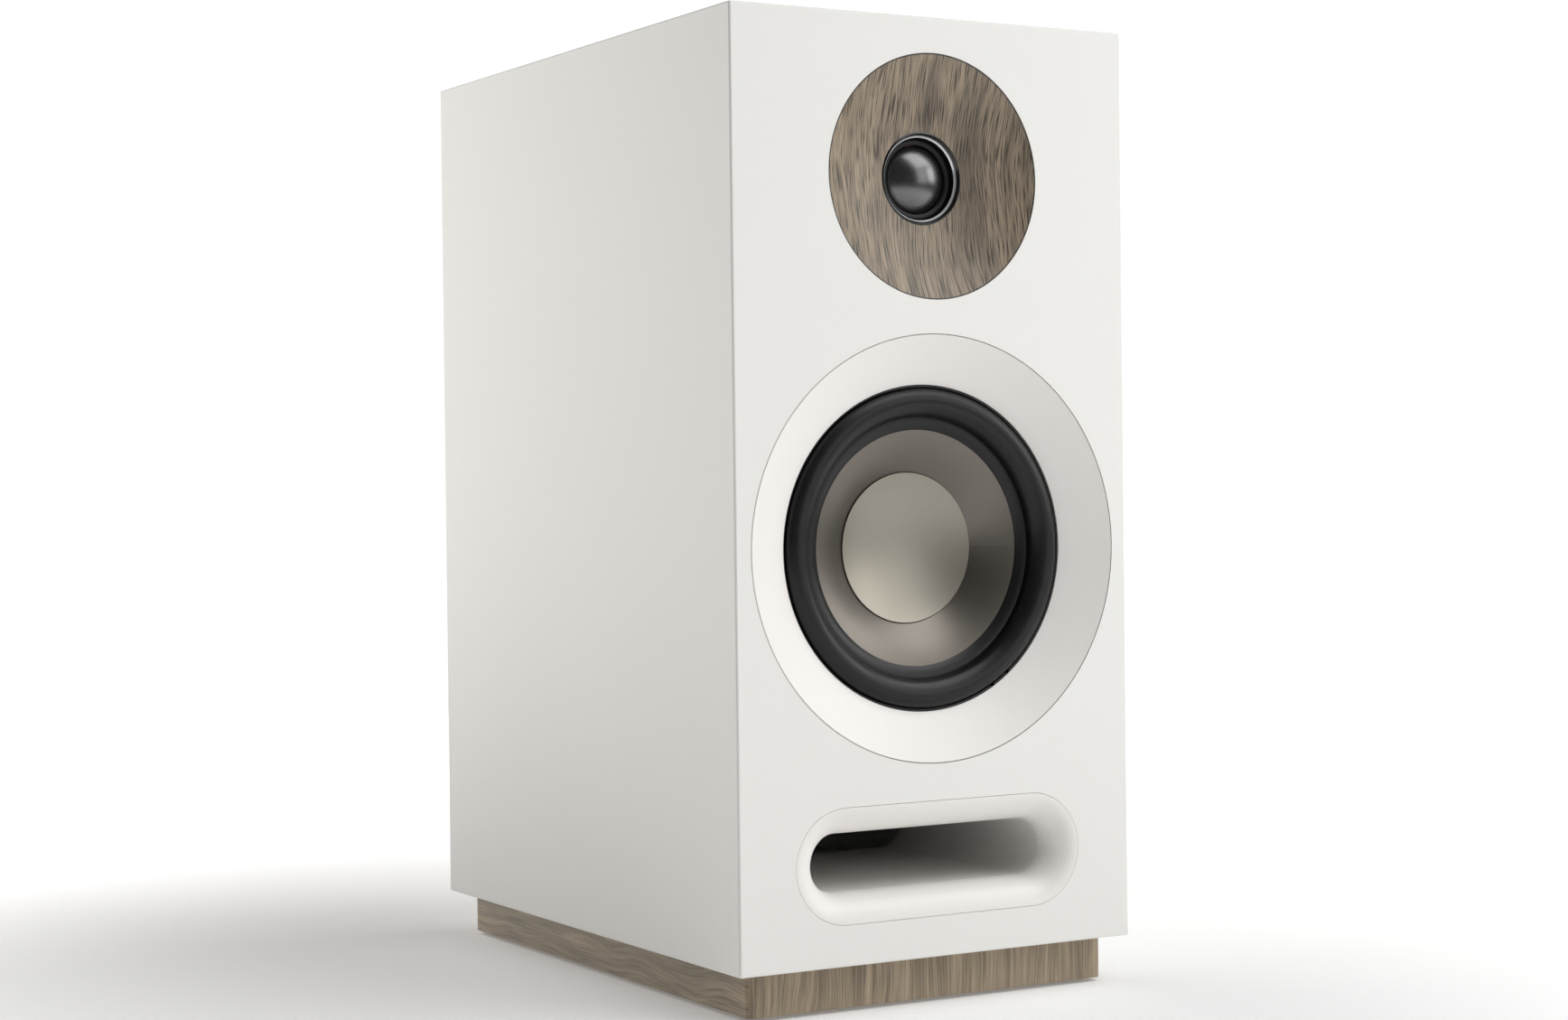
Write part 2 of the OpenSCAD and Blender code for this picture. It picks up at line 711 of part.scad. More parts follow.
// One window between two legs: a wedge that leaves half a leg's width on each side
module window_cut(tall) {
    reach = basket_r + past;
    intersection() {
        translate([0, leg_w / 2, 0]) cube([reach, reach, tall]);
        rotate([0, 0, 360 / legs - 90]) translate([leg_w / 2, 0, 0]) cube([reach, reach, tall]);
    }
}

module woofer_screws() {
    color([0.2, 0.2, 0.2]) on_front(woofer_z)
        at_woofer_screws() translate([0, 0, -trim_back]) csk_screw(woofer_screw,
            baffle_t - trim_back - screw_short);
}

module woofer_top_plate() {
    color([0.6, 0.6, 0.62]) on_front(woofer_z)
        ring(woofer_magnet_r - steel_in, woofer_gap_in, basket_floor, woofer_magnet_top);
}

module woofer_magnet() {
    color([0.15, 0.15, 0.16]) on_front(woofer_z)
        ring(woofer_magnet_r, woofer_gap_in + magnet_room, woofer_magnet_top, woofer_magnet_back);
}

module woofer_yoke() {
    back = woofer_magnet_back + woofer_steel_t;
    rim = woofer_magnet_r - steel_in;
    top = basket_floor - 1;
    vent = 5;
    color([0.6, 0.6, 0.62]) on_front(woofer_z)
        turned([[vent, top], [pole_r, top], [pole_r, woofer_magnet_back], [rim, woofer_magnet_back],
            [rim, back],
            [vent, back]]);
}

// Two tabs on a strip that stands on the sill of the basket's upper window
strip_angle = 90;
strip_t = 1.6;
strip_tall = 9;
strip_w = 18;
strip_tab_x = 5;
strip_r = basket_outside(shelf - sill) + 0.05;

module woofer_terminal_strip() {
    on_front(woofer_z) rotate([0, 0, strip_angle]) translate([strip_r, 0, -shelf - strip_tall / 2]) {
        color([0.35, 0.25, 0.15]) translate([0, -strip_w / 2, 0]) cube([strip_t, strip_w, strip_tall]);
        color([0.8, 0.78, 0.7]) for (side = [-1, 1])
            translate([strip_t, side * strip_tab_x - tab_w / 2, 1]) cube([tab_l, tab_w, tab_t]);
    }
}

// A soft lead: a tube swept along points
module lead(points, r, sides = 8) {
    last = len(points) - 1;
    function along(i) = let (v = points[min(i + 1, last)] - points[max(i - 1, 0)]) v / norm(v);
    function across(i) = let (t = along(i), up = abs(t[2]) < 0.9 ? [0, 0, 1] : [0, 1, 0], c = cross(t, up))
        c / norm(c);
    rings = [for (i = [0:last]) let (u = across(i), v = cross(along(i), u))
        [for (k = [0:sides - 1]) points[i] + r * (cos(360 * k / sides) * u + sin(360 * k / sides) * v)]];
    polyhedron([for (one = rings) for (p = one) p],
        concat([[for (k = [0:sides - 1]) k]], [[for (k = [sides - 1:-1:0]) last * sides + k]],
            [for (i = [0:last - 1], k = [0:sides - 1]) let (n = (k + 1) % sides)
                [i * sides + k, (i + 1) * sides + k, (i + 1) * sides + n, i * sides + n]]), convexity = 8);
}

// Points on a smooth curve through the given ones
function smooth(route, per = 6) = concat([for (i = [0:len(route) - 2], s = [0:per - 1])
    let (t = s / per, a = route[max(i - 1, 0)], b = route[i], c = route[i + 1],
        d = route[min(i + 2, len(route) - 1)])
        0.5 * (2 * b + (c - a) * t + (2 * a - 5 * b + 4 * c - d) * t * t + (3 * b - a - 3 * c + d)
            * t * t * t)],
    [route[len(route) - 1]]);

// The coil's two flexible leads, from the cone's back out to the terminal strip
module woofer_tinsel_leads() {
    lead_r = 0.5;
    start_r = cone_neck_r + 2.5;
    start_x = 3;                          // half the distance between the leads at the cone
    hang = -35;                           // height of the slack between the cone and the strip
    color([0.7, 0.55, 0.35]) on_front(woofer_z) rotate([0, 0, strip_angle]) for (side = [-1, 1])
        lead(smooth([[start_r, side * start_x, -cone_depth(start_r) - cone_t - 0.8],
            [start_r + 8, side * (start_x + 1), hang], [start_r + 18, side * strip_tab_x, hang - lead_r],
            [strip_r - 0.6, side * strip_tab_x, 1.2 - shelf + sill]]), lead_r, 6);
}

// --- port ---

// Flared flange with a spigot that the duct plugs into
module port_flange() {
    curve = [for (a = steps(0, 90, 12)) [port_flange_r - flare_w * sin(a), flare_depth * (1 - cos(a))]];
    socket = port_duct_r + port_wall + screw_gap;
    color([0.9, 0.89, 0.88]) on_front(port_z)
        slotted(concat(curve, [[socket, flare_depth], [socket, spigot_depth], [spigot_r, spigot_depth],
            [spigot_r, flange_edge_t], [port_flange_r, flange_edge_t]]));
}

module port_tube() {
    lip = 3;
    flare_l = 7;
    outer = port_duct_r + port_wall;
    curve = [for (a = steps(0, 90, 8)) [port_duct_r + lip * (1 - cos(a)),
        port_length - flare_l + flare_l * sin(a)]];
    color([0.78, 0.77, 0.76]) on_front(port_z)
        slotted(concat([[port_duct_r, flare_depth + screw_gap]], curve,
            [[outer + lip, port_length], [outer, port_length - flare_l], [outer, flare_depth + screw_gap]]));
}

// --- rear connection ---

module at_cup_screws() {
    for (x = [-1, 1], z = [-1, 1])
        translate([x * (cup_w - cup_rim) / 2, rear_y, cup_z + z * (cup_tall - cup_rim) / 2])
            rotate([-90, 0, 0]) children();
}

module at_post(side) translate([side * post_spacing / 2, cup_floor_y, cup_z]) rotate([-90, 0, 0]) children();

// The cup's recess, or what surrounds it at the given distance
module cup_block(beyond, y_from, y_to) {
    upright_block(cup_w - 2 * cup_rim + 2 * beyond, cup_tall - 2 * cup_rim + 2 * beyond, recess_r + beyond,
        y_from, y_to, cup_z);
}

module terminal_cup() {
    color([0.07, 0.07, 0.07]) difference() {
        union() {
            upright_block(cup_w, cup_tall, cup_corner_r, rear_y, rear_y + cup_flange_t, cup_z);
            cup_block(cup_wall, cup_floor_y - cup_wall, rear_y);
        }
        cup_block(0, cup_floor_y, rear_y + cup_flange_t + past);
        at_cup_screws() translate([0, 0, cup_flange_t]) csk_hole(cup_screw, csk_reach, screw_gap);
        for (side = [-1, 1]) at_post(side) translate([0, 0, -cup_wall - past])
            cylinder(r = tail_r + screw_gap, h = cup_wall + 2 * past);
    }
}

module terminal_cup_screws() {
    cross_slot = [3.6, 0.7, 2];
    color([0.15, 0.15, 0.15]) at_cup_screws() translate([0, 0, cup_flange_t]) difference() {
        csk_screw(cup_screw, rear_t);
        for (a = [0, 90]) rotate([0, 0, a]) cube(cross_slot, center = true);
    }
}

module post(side) {
    color([0.83, 0.68, 0.35]) at_post(side) difference() {
        union() {
            cylinder(r = collar_r, h = collar_t);
            cylinder(r = stud_r, h = collar_t + stud_l);
            translate([0, 0, -cup_wall - stud_tail]) cylinder(r = tail_r, h = cup_wall + stud_tail + past);
        }
        translate([0, 0, collar_t + stud_l - socket_depth]) cylinder(r = socket_r, h = socket_depth + past);
        translate([-stud_r - past, 0, collar_t + wire_hole_r]) rotate([0, 90, 0])
            cylinder(r = wire_hole_r, h = 2 * (stud_r + past));
    }
}

module positive_post() post(1);

module negative_post() post(-1);

// Fluted knob that runs on the stud, with a mouth for a plug
module knob(side, tint) {
    flutes = 14;
    flute_r = 1.2;
    flute_out = 0.7;                      // the flutes' centres stand this far outside the knob
    flute_from = 3;
    low_bevel = 0.8;
    top_bevel = 1.4;
    color(tint) at_post(side) translate([0, 0, knob_start]) difference() {
        rotate_extrude() polygon([[0, 0], [knob_r - low_bevel, 0], [knob_r, low_bevel],
            [knob_r, knob_l - top_bevel],
            [knob_r - top_bevel, knob_l], [0, knob_l]]);
        translate([0, 0, -past]) cylinder(r = stud_r + knob_gap, h = knob_l - knob_cap + past);
        cylinder(r = knob_mouth_r, h = knob_l + past);
        around(flutes, knob_r + flute_out) translate([0, 0, flute_from])
            cylinder(r = flute_r, h = knob_l, $fn = 24);
    }
}

module positive_knob() knob(1, [0.6, 0.05, 0.05]);

module negative_knob() knob(-1, [0.06, 0.06, 0.06]);

module clamp_washer(side) {
    color([0.83, 0.68, 0.35]) at_post(side) translate([0, 0, collar_t + washer_lift]) difference() {
        cylinder(r = collar_r, h = washer_t);
        translate([0, 0, -past]) cylinder(r = stud_r + knob_gap, h = washer_t + 2 * past);
    }
}

module positive_clamp_washer() clamp_washer(1);

module negative_clamp_washer() clamp_washer(-1);

tag_t = 0.8;
tag_l = 13;
tag_w = 4;

module post_nuts() {
    nut_h = 4;
    color([0.75, 0.75, 0.72]) for (side = [-1, 1]) at_post(side) translate([0, 0, -cup_wall - nut_h - tag_t])
        difference() {
            cylinder(r = 2 * tail_r, h = nut_h, $fn = 6);
            translate([0, 0, -past]) cylinder(r = tail_r + screw_gap, h = nut_h + 2 * past);
        }
}

module solder_tags() {
    color([0.8, 0.78, 0.7]) for (side = [-1, 1]) at_post(side) translate([0, 0, -cup_wall - tag_t])
        difference() {
        union() {
            cylinder(r = tail_r + 1.7, h = tag_t);
            translate([-tag_w / 2, 0, 0]) cube([tag_w, tag_l, tag_t]);
        }
        translate([0, 0, -past]) cylinder(r = tail_r + screw_gap, h = tag_t + 2 * past);
    }
}

// --- crossover, on the rear panel's inner face ---

spacer_h = 6;
board_t = 1.6;
board_screw_bite = 8;
board_y = rear_inside_y - spacer_h;       // rear face of the board
board_front_y = board_y - board_t;
board_edge = 5;                           // from the board's edges to its screws

module at_board_corners() {
    for (x = [-1, 1], z = [-1, 1])
        translate([x * (board_w / 2 - board_edge), rear_inside_y,
            board_z + z * (board_tall / 2 - board_edge)])
            rotate([-90, 0, 0]) children();
}

// A piece that stands on the board: its +Z points into the cabinet
module on_board(x, z) translate([x, board_front_y, board_z + z]) rotate([90, 0, 0]) children();

module crossover_board() {
    color([0.1, 0.3, 0.15]) difference() {
        upright_block(board_w, board_tall, 2, board_front_y, board_y, board_z);
        at_board_corners() translate([0, 0, -spacer_h - board_t - past])
            cylinder(r = board_screw + screw_gap, h = board_t + 2 * past);
    }
}

module crossover_spacers() {
    color([0.85, 0.83, 0.75]) at_board_corners() translate([0, 0, -spacer_h]) difference() {
        cylinder(r = 2 * board_screw + 0.2, h = spacer_h);
        translate([0, 0, -past]) cylinder(r = board_screw + screw_gap, h = spacer_h + 2 * past);
    }
}

module crossover_screws() {
    reach = spacer_h + board_t;
    head_t = 1.8;
    color([0.6, 0.6, 0.62]) at_board_corners() {
        translate([0, 0, -reach]) cylinder(r = board_screw, h = reach + board_screw_bite - 1);
        translate([0, 0, -reach - head_t]) cylinder(r = 2 * board_screw, h = head_t);
    }
}

// Two coils, each wound on a bobbin
module air_core_coils() {
    color([0.72, 0.4, 0.2]) {
        on_board(-32, 18) bobbin(20, 9, 18);
        on_board(32, -22) bobbin(15, 7, 14);
    }
}

module bobbin(r, core, tall) {
    cheek = 1.6;                          // thickness of each end plate
    wound = r - 1.5;
    rotate_extrude() polygon([[core, 0], [r, 0], [r, cheek], [wound, cheek], [wound, tall - cheek],
        [r, tall - cheek], [r, tall], [core, tall]]);
}

lying_gap = 0.2;                          // below a part that lies on the board

// A capacitor that lies along X, from x, with its axis at z above the board's centre
module capacitor(x, z, r, length) {
    translate([x, board_front_y - r - lying_gap, board_z + z]) rotate([0, 90, 0]) cylinder(r = r, h = length);
}

module film_capacitors() {
    color([0.85, 0.75, 0.2]) {
        for (z = [8, 27]) capacitor(8, z, 8, 36);
        capacitor(-48, -16, 6, 28);
    }
}

module cement_resistors() {
    size = [42, 7, 6.5];
    color([0.85, 0.85, 0.82]) for (z = [-31, -40])
        translate([-46, board_front_y - size[1] - lying_gap, board_z + z]) cube(size);
}

// --- wires inside: each runs whole from tab to board ---

wire_r = 1;
solder_gap = 0.05;

// Where a pair of wires meets the board: in the clear strip between the parts
pad_x = 4;
pad_step = 3;
end_y = board_front_y - wire_r - solder_gap;

module input_wires() {
    tag_y = cup_floor_y - cup_wall - tag_t;
    color([0.6, 0.1, 0.1]) for (side = [-1, 1]) {
        x = side * post_spacing / 2;
        x_end = pad_x + side * pad_step;
        lead(smooth([[x, tag_y - wire_r - 0.3, cup_z + tag_l - 2],
            [x, tag_y - wire_r - 0.6, cup_z + tag_l + 2],
            [x, tag_y - 5, cup_z + 24], [x_end + side * 2, tag_y - 9, cup_z + 42],
            [x_end, end_y - 6, board_z - board_tall / 2 - 6], [x_end, end_y - 4, board_z - board_tall / 2],
            [x_end, end_y, board_z - board_tall / 2 + 5]]), wire_r);
    }
}

module woofer_wires() {
    tab_y = front_y + shelf + strip_tall / 2 - 1;
    wire_y = tab_y + wire_r + 0.3;
    tab_z = woofer_z + strip_r + strip_t + tab_l;
    color([0.1, 0.1, 0.35]) for (side = [-1, 1]) {
        x_end = pad_x + side * pad_step;
        lead(smooth([[side * strip_tab_x, wire_y, tab_z - 4], [side * strip_tab_x, wire_y + 0.3, tab_z],
            [side * 6, wire_y + 5, tab_z + 6], [side * 9, wire_y + 24, tab_z - 4],
                [side * 12, wire_y + 80, tab_z - 20],
            [x_end, end_y - 34, board_z - 36], [x_end, end_y - 8, board_z - 30],
            [x_end, end_y, board_z - 28]]), wire_r);
    }
}

module tweeter_wires() {
    tab_y = front_y + rear_cup_from + tab_block[2] + tab_l;
    tab_z = tweeter_z - tweeter_tab_y;
    wire_z = tab_z - tab_t / 2 - wire_r - 0.3;
    color([0.1, 0.1, 0.1]) for (side = [-1, 1]) {
        x_end = pad_x + side * pad_step;
        lead(smooth([[side * tweeter_tab_x, tab_y - 4, wire_z], [side * tweeter_tab_x, tab_y, wire_z],
            [side * tweeter_tab_x, tab_y + 4, wire_z - 3], [side * 7, tab_y + 7, tab_z - 20],
            [side * 8, tab_y + 22, tab_z - 46], [side * 5, end_y - 60, board_z - 14],
            [x_end, end_y - 20, board_z - 16], [x_end, end_y, board_z - 16]]), wire_r);
    }
}

front_baffle();
left_side_panel();
right_side_panel();
top_panel();
bottom_panel();
rear_panel();
plinth();
plinth_screws();
rubber_feet();
acoustic_wadding();
foam_gaskets();
tweeter_disc();
tweeter_ring();
tweeter_plate();
tweeter_screws();
tweeter_dome();
tweeter_surround();
tweeter_voice_coil();
tweeter_top_plate();
tweeter_magnet();
tweeter_yoke();
tweeter_rear_cup();
tweeter_terminals();
woofer_trim_ring();
woofer_clamp_ring();
woofer_surround();
woofer_cone();
woofer_dust_cap();
woofer_coil_former();
woofer_voice_coil();
woofer_spider();
woofer_basket();
woofer_screws();
woofer_top_plate();
woofer_magnet();
woofer_yoke();
woofer_terminal_strip();
woofer_tinsel_leads();
port_flange();
port_tube();
terminal_cup();
terminal_cup_screws();
positive_post();
negative_post();
positive_knob();
negative_knob();
positive_clamp_washer();
negative_clamp_washer();
post_nuts();
solder_tags();
crossover_board();
crossover_spacers();
crossover_screws();
air_core_coils();
film_capacitors();
cement_resistors();
input_wires();
woofer_wires();
tweeter_wires();
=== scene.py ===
"""Bookshelf speaker: finishes, soft pieces, light and camera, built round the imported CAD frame."""

import logging
import math
from dataclasses import dataclass, field
from enum import Enum
from typing import Any, Callable, Sequence

import bmesh
import bpy
import numpy as np
from mathutils import Matrix, Vector


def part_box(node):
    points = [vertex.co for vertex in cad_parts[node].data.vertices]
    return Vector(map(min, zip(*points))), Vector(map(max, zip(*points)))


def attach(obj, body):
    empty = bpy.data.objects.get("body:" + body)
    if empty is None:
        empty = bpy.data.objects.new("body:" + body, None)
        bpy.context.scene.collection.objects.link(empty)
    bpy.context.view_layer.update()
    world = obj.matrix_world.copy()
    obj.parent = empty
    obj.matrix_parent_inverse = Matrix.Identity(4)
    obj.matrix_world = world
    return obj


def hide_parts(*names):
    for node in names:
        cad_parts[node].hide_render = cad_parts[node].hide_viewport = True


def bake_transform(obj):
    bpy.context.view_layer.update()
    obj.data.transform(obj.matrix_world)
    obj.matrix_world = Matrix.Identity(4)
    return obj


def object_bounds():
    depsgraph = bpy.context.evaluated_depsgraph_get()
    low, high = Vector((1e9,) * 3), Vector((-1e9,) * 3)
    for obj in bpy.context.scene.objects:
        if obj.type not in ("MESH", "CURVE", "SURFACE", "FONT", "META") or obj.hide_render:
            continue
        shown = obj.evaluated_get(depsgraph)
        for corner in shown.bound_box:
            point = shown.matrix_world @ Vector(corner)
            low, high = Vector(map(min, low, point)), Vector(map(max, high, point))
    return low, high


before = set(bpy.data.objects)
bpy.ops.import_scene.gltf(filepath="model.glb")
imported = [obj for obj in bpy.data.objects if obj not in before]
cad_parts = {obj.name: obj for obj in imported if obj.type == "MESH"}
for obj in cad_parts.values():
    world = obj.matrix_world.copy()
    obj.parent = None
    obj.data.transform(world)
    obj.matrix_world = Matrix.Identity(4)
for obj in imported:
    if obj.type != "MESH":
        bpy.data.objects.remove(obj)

CAD_LOW, CAD_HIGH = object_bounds()
MM = 0.001
log = logging.getLogger("speaker")

Colour = tuple[float, float, float]
Point = tuple[float, float, float]
Outline = Sequence[tuple[float, float]]
Share = Callable[[np.ndarray], np.ndarray]
WHITE: Colour = (1.0, 1.0, 1.0)
MIDDLE = 0.5  # what every noise varies round
FINE_DETAIL = 3.0  # octaves of a fine grain
SOFT_EDGE = 0.4  # where a thin line starts to fade, as a share of its half width


# --- shader values and the one way in to every other node ---


class Value:
    """A number that changes over a surface, with arithmetic that adds Math nodes."""

    def __init__(self, shade: "Shade", socket: bpy.types.NodeSocket) -> None:
        """Wraps an output socket of a material's tree."""
        self.shade = shade
        self.socket = socket

    def _math(self, operation: str, *terms: "Value | float") -> "Value":
        """Adds one Math node.

        Args:
            operation: the Math node's operation.
            terms: its inputs, in order.

        Returns:
            The result.
        """
        made = self.shade.node("ShaderNodeMath", {"operation": operation}, dict(enumerate(terms)))
        return Value(self.shade, made.outputs[0])

    def __add__(self, other: "Value | float") -> "Value":
        """self + other"""
        return self._math("ADD", self, other)

    __radd__ = __add__

    def __sub__(self, other: "Value | float") -> "Value":
        """self - other"""
        return self._math("SUBTRACT", self, other)

    def __rsub__(self, other: float) -> "Value":
        """other - self"""
        return self._math("SUBTRACT", other, self)

    def __mul__(self, other: "Value | float") -> "Value":
        """self * other"""
        return self._math("MULTIPLY", self, other)

    __rmul__ = __mul__

    def __truediv__(self, other: "Value | float") -> "Value":
        """self / other"""
        return self._math("DIVIDE", self, other)

    def __rtruediv__(self, other: float) -> "Value":
        """other / self"""
        return self._math("DIVIDE", other, self)

    def __pow__(self, other: "Value | float") -> "Value":
        """self ** other"""
        return self._math("POWER", self, other)

    def __rpow__(self, other: float) -> "Value":
        """other ** self"""
        return self._math("POWER", other, self)

    def __neg__(self) -> "Value":
        """-self"""
        return self._math("MULTIPLY", self, -1.0)

    def __abs__(self) -> "Value":
        """abs(self)"""
        return self._math("ABSOLUTE", self)

    def __gt__(self, other: "Value | float") -> "Value":
        """1 where self is greater, else 0"""
        return self._math("GREATER_THAN", self, other)

    def sine(self) -> "Value":
        """The sine of self, in radians."""
        return self._math("SINE", self)

    def root(self) -> "Value":
        """The square root of self."""
        return self._math("SQRT", self)

    def ramp(self, low: float, high: float) -> "Value":
        """Rises smoothly from 0 at low to 1 at high.

        Args:
            low: the value that gives 0.
            high: the value that gives 1.

        Returns:
            A value from 0 to 1.
        """
        settings = {"interpolation_type": "SMOOTHSTEP"}
        inputs = {"Value": self, "From Min": low, "From Max": high}
        made = self.shade.node("ShaderNodeMapRange", settings, inputs)
        return Value(self.shade, made.outputs[0])


class Nodes:
    """A node tree, and the one way to add a node to it."""

    def __init__(self, tree: bpy.types.NodeTree) -> None:
        """Wraps a tree."""
        self.tree = tree

    def node(self, kind: str, settings: dict[str, Any], inputs: dict[Any, Any]) -> bpy.types.Node:
        """Adds a node of any kind.

        Args:
            kind: the node's type.
            settings: attributes, set first.
            inputs: socket names or places, with a number, tuple, Value or socket each.

        Returns:
            The node.
        """
        made = self.tree.nodes.new(kind)
        for key, value in settings.items():
            setattr(made, key, value)
        for key, value in inputs.items():
            self.feed(made.inputs[key], value)
        return made

    def feed(self, socket: bpy.types.NodeSocket, value: Any) -> None:
        """Links a Value or socket to a socket, or sets a plain value on it."""
        if isinstance(value, Value):
            value = value.socket
        if isinstance(value, bpy.types.NodeSocket):
            self.tree.links.new(value, socket)
        elif isinstance(value, tuple) and len(value) == 3 and socket.type == "RGBA":
            socket.default_value = (*value, 1.0)
        else:
            socket.default_value = value


class Shade(Nodes):
    """A material's node tree, and the surface shader at its end."""

    def __init__(self, name: str) -> None:
        """Makes a material with an empty Principled surface."""
        self.material = bpy.data.materials.new(name)
        self.material.use_nodes = True
        super().__init__(self.material.node_tree)
        self.surface = self.tree.nodes["Principled BSDF"]
        self._position: bpy.types.NodeSocket | None = None

    def position(self) -> tuple[Value, Value, Value]:
        """The place on the object at rest, in millimetres."""
        if self._position is None:
            coordinate = self.node("ShaderNodeTexCoord", {}, {})
            settings = {"operation": "SCALE"}
            inputs = {0: coordinate.outputs["Object"], "Scale": 1.0 / MM}
            self._position = self.node("ShaderNodeVectorMath", settings, inputs).outputs[0]
        split = self.node("ShaderNodeSeparateXYZ", {}, {0: self._position})
        return tuple(Value(self, out) for out in split.outputs)

    def facing(self) -> tuple[Value, Value, Value]:
        """The surface's own direction on the object."""
        coordinate = self.node("ShaderNodeTexCoord", {}, {})
        split = self.node("ShaderNodeSeparateXYZ", {}, {0: coordinate.outputs["Normal"]})
        return tuple(Value(self, out) for out in split.outputs)

    def vector(self, *parts: "Value | float") -> bpy.types.NodeSocket:
        """Joins three values to a vector."""
        return self.node("ShaderNodeCombineXYZ", {}, dict(enumerate(parts))).outputs[0]

    def noise(self, across: Sequence["Value | float"], detail: float = 2.0, rough: float = 0.5) -> Value:
        """Noise whose cells are one unit of the given coordinates wide.

        Args:
            across: three coordinates, already divided by the size of the grain.
            detail: octaves.
            rough: weight of the finer octaves.

        Returns:
            A value round 0.5.
        """
        inputs = {"Vector": self.vector(*across), "Scale": 1.0, "Detail": detail, "Roughness": rough}
        return Value(self, self.node("ShaderNodeTexNoise", {}, inputs).outputs["Fac"])

    def grain(self, size: float, detail: float = 2.0) -> Value:
        """Even noise of one grain size in millimetres."""
        x, y, z = self.position()
        return self.noise((x / size, y / size, z / size), detail)

    def blend(self, share: "Value | float", low: Any, high: Any) -> bpy.types.NodeSocket:
        """Mixes two colours.

        Args:
            share: 0 gives low and 1 gives high.
            low: a colour or a colour socket.
            high: a colour or a colour socket.

        Returns:
            The colour socket.
        """
        settings = {"data_type": "RGBA"}
        return self.node("ShaderNodeMix", settings, {0: share, 6: low, 7: high}).outputs[2]

    def bump(self, height: Value, depth: float) -> None:
        """Raises the surface by a height from 0 to 1 times a depth in millimetres."""
        inputs = {"Height": height, "Distance": depth * MM, "Strength": 1.0}
        self.feed(self.surface.inputs["Normal"], self.node("ShaderNodeBump", {}, inputs).outputs[0])

    def set(self, **sockets: Any) -> None:
        """Sets or links sockets of the surface shader, named with _ for a space."""
        for key, value in sockets.items():
            self.feed(self.surface.inputs[key.replace("_", " ")], value)


def tone(red: int, green: int, blue: int) -> Colour:
    """A colour given in display values from 0 to 255, as linear light."""
    shares = (value / 255.0 for value in (red, green, blue))
    return tuple(s / 12.92 if s <= 0.04045 else ((s + 0.055) / 1.055) ** 2.4 for s in shares)


def scaled(colour: Colour, factor: float) -> Colour:
    """A colour made lighter or darker."""
    return tuple(min(1.0, part * factor) for part in colour)


# --- finishes ---


@dataclass(frozen=True)
class VinylWrap:
    """Satin wrap over the cabinet's boards: a very fine emboss, and painted shadow lines in the seams round
    the drivers.
    """

    name: str = "white_vinyl"
    colour: Colour = tone(240, 239, 235)
    roughness: float = 0.55
    emboss: float = 0.35
    emboss_depth: float = 0.006
    emboss_gloss: float = 0.12
    cloud: float = 90.0
    cloud_shade: float = 0.975
    # cuts: the seams round the drivers, each a centre height and a radius, where painted shadow lines go
    cuts: tuple[tuple[float, float], ...] = ()
    seam_shadow_w: float = 0.35
    seam_shadow_tone: float = 0.55

    def _seam_shadow(self, shade: Shade) -> Value | float:
        """How near a place is to a seam round a driver, where a shadow line is painted: 1 on it and 0 away
        from it.

        Args:
            shade: the material being made.

        Returns:
            The share, over every seam given as a centre height and a radius.
        """
        share: Value | float = 0.0
        x, _, z = shade.position()
        for height, radius in self.cuts:
            up = z - height
            off = (x * x + up * up).root() - radius
            share = share + (1 - abs(off).ramp(self.seam_shadow_w * SOFT_EDGE, self.seam_shadow_w))
        return share

    def material(self) -> bpy.types.Material:
        """Makes the material."""
        shade = Shade(self.name)
        cloud = shade.grain(self.cloud, 1.0)
        fine = shade.grain(self.emboss, FINE_DETAIL)
        wrap = shade.blend(cloud, scaled(self.colour, self.cloud_shade), self.colour)
        # painted shadow: the wrap is darkened along the seams round the drivers
        shade.set(Base_Color=shade.blend(self._seam_shadow(shade), wrap, scaled(self.colour, self.seam_shadow_tone)))
        shade.set(Roughness=self.roughness + (fine - MIDDLE) * self.emboss_gloss)
        shade.bump(fine, self.emboss_depth)
        return shade.material


class GrainRun(Enum):
    """Which way a wood print's grain runs."""

    UPRIGHT = "upright"
    ROUND_THE_PLINTH = "upright on the front and rear, level on the sides"


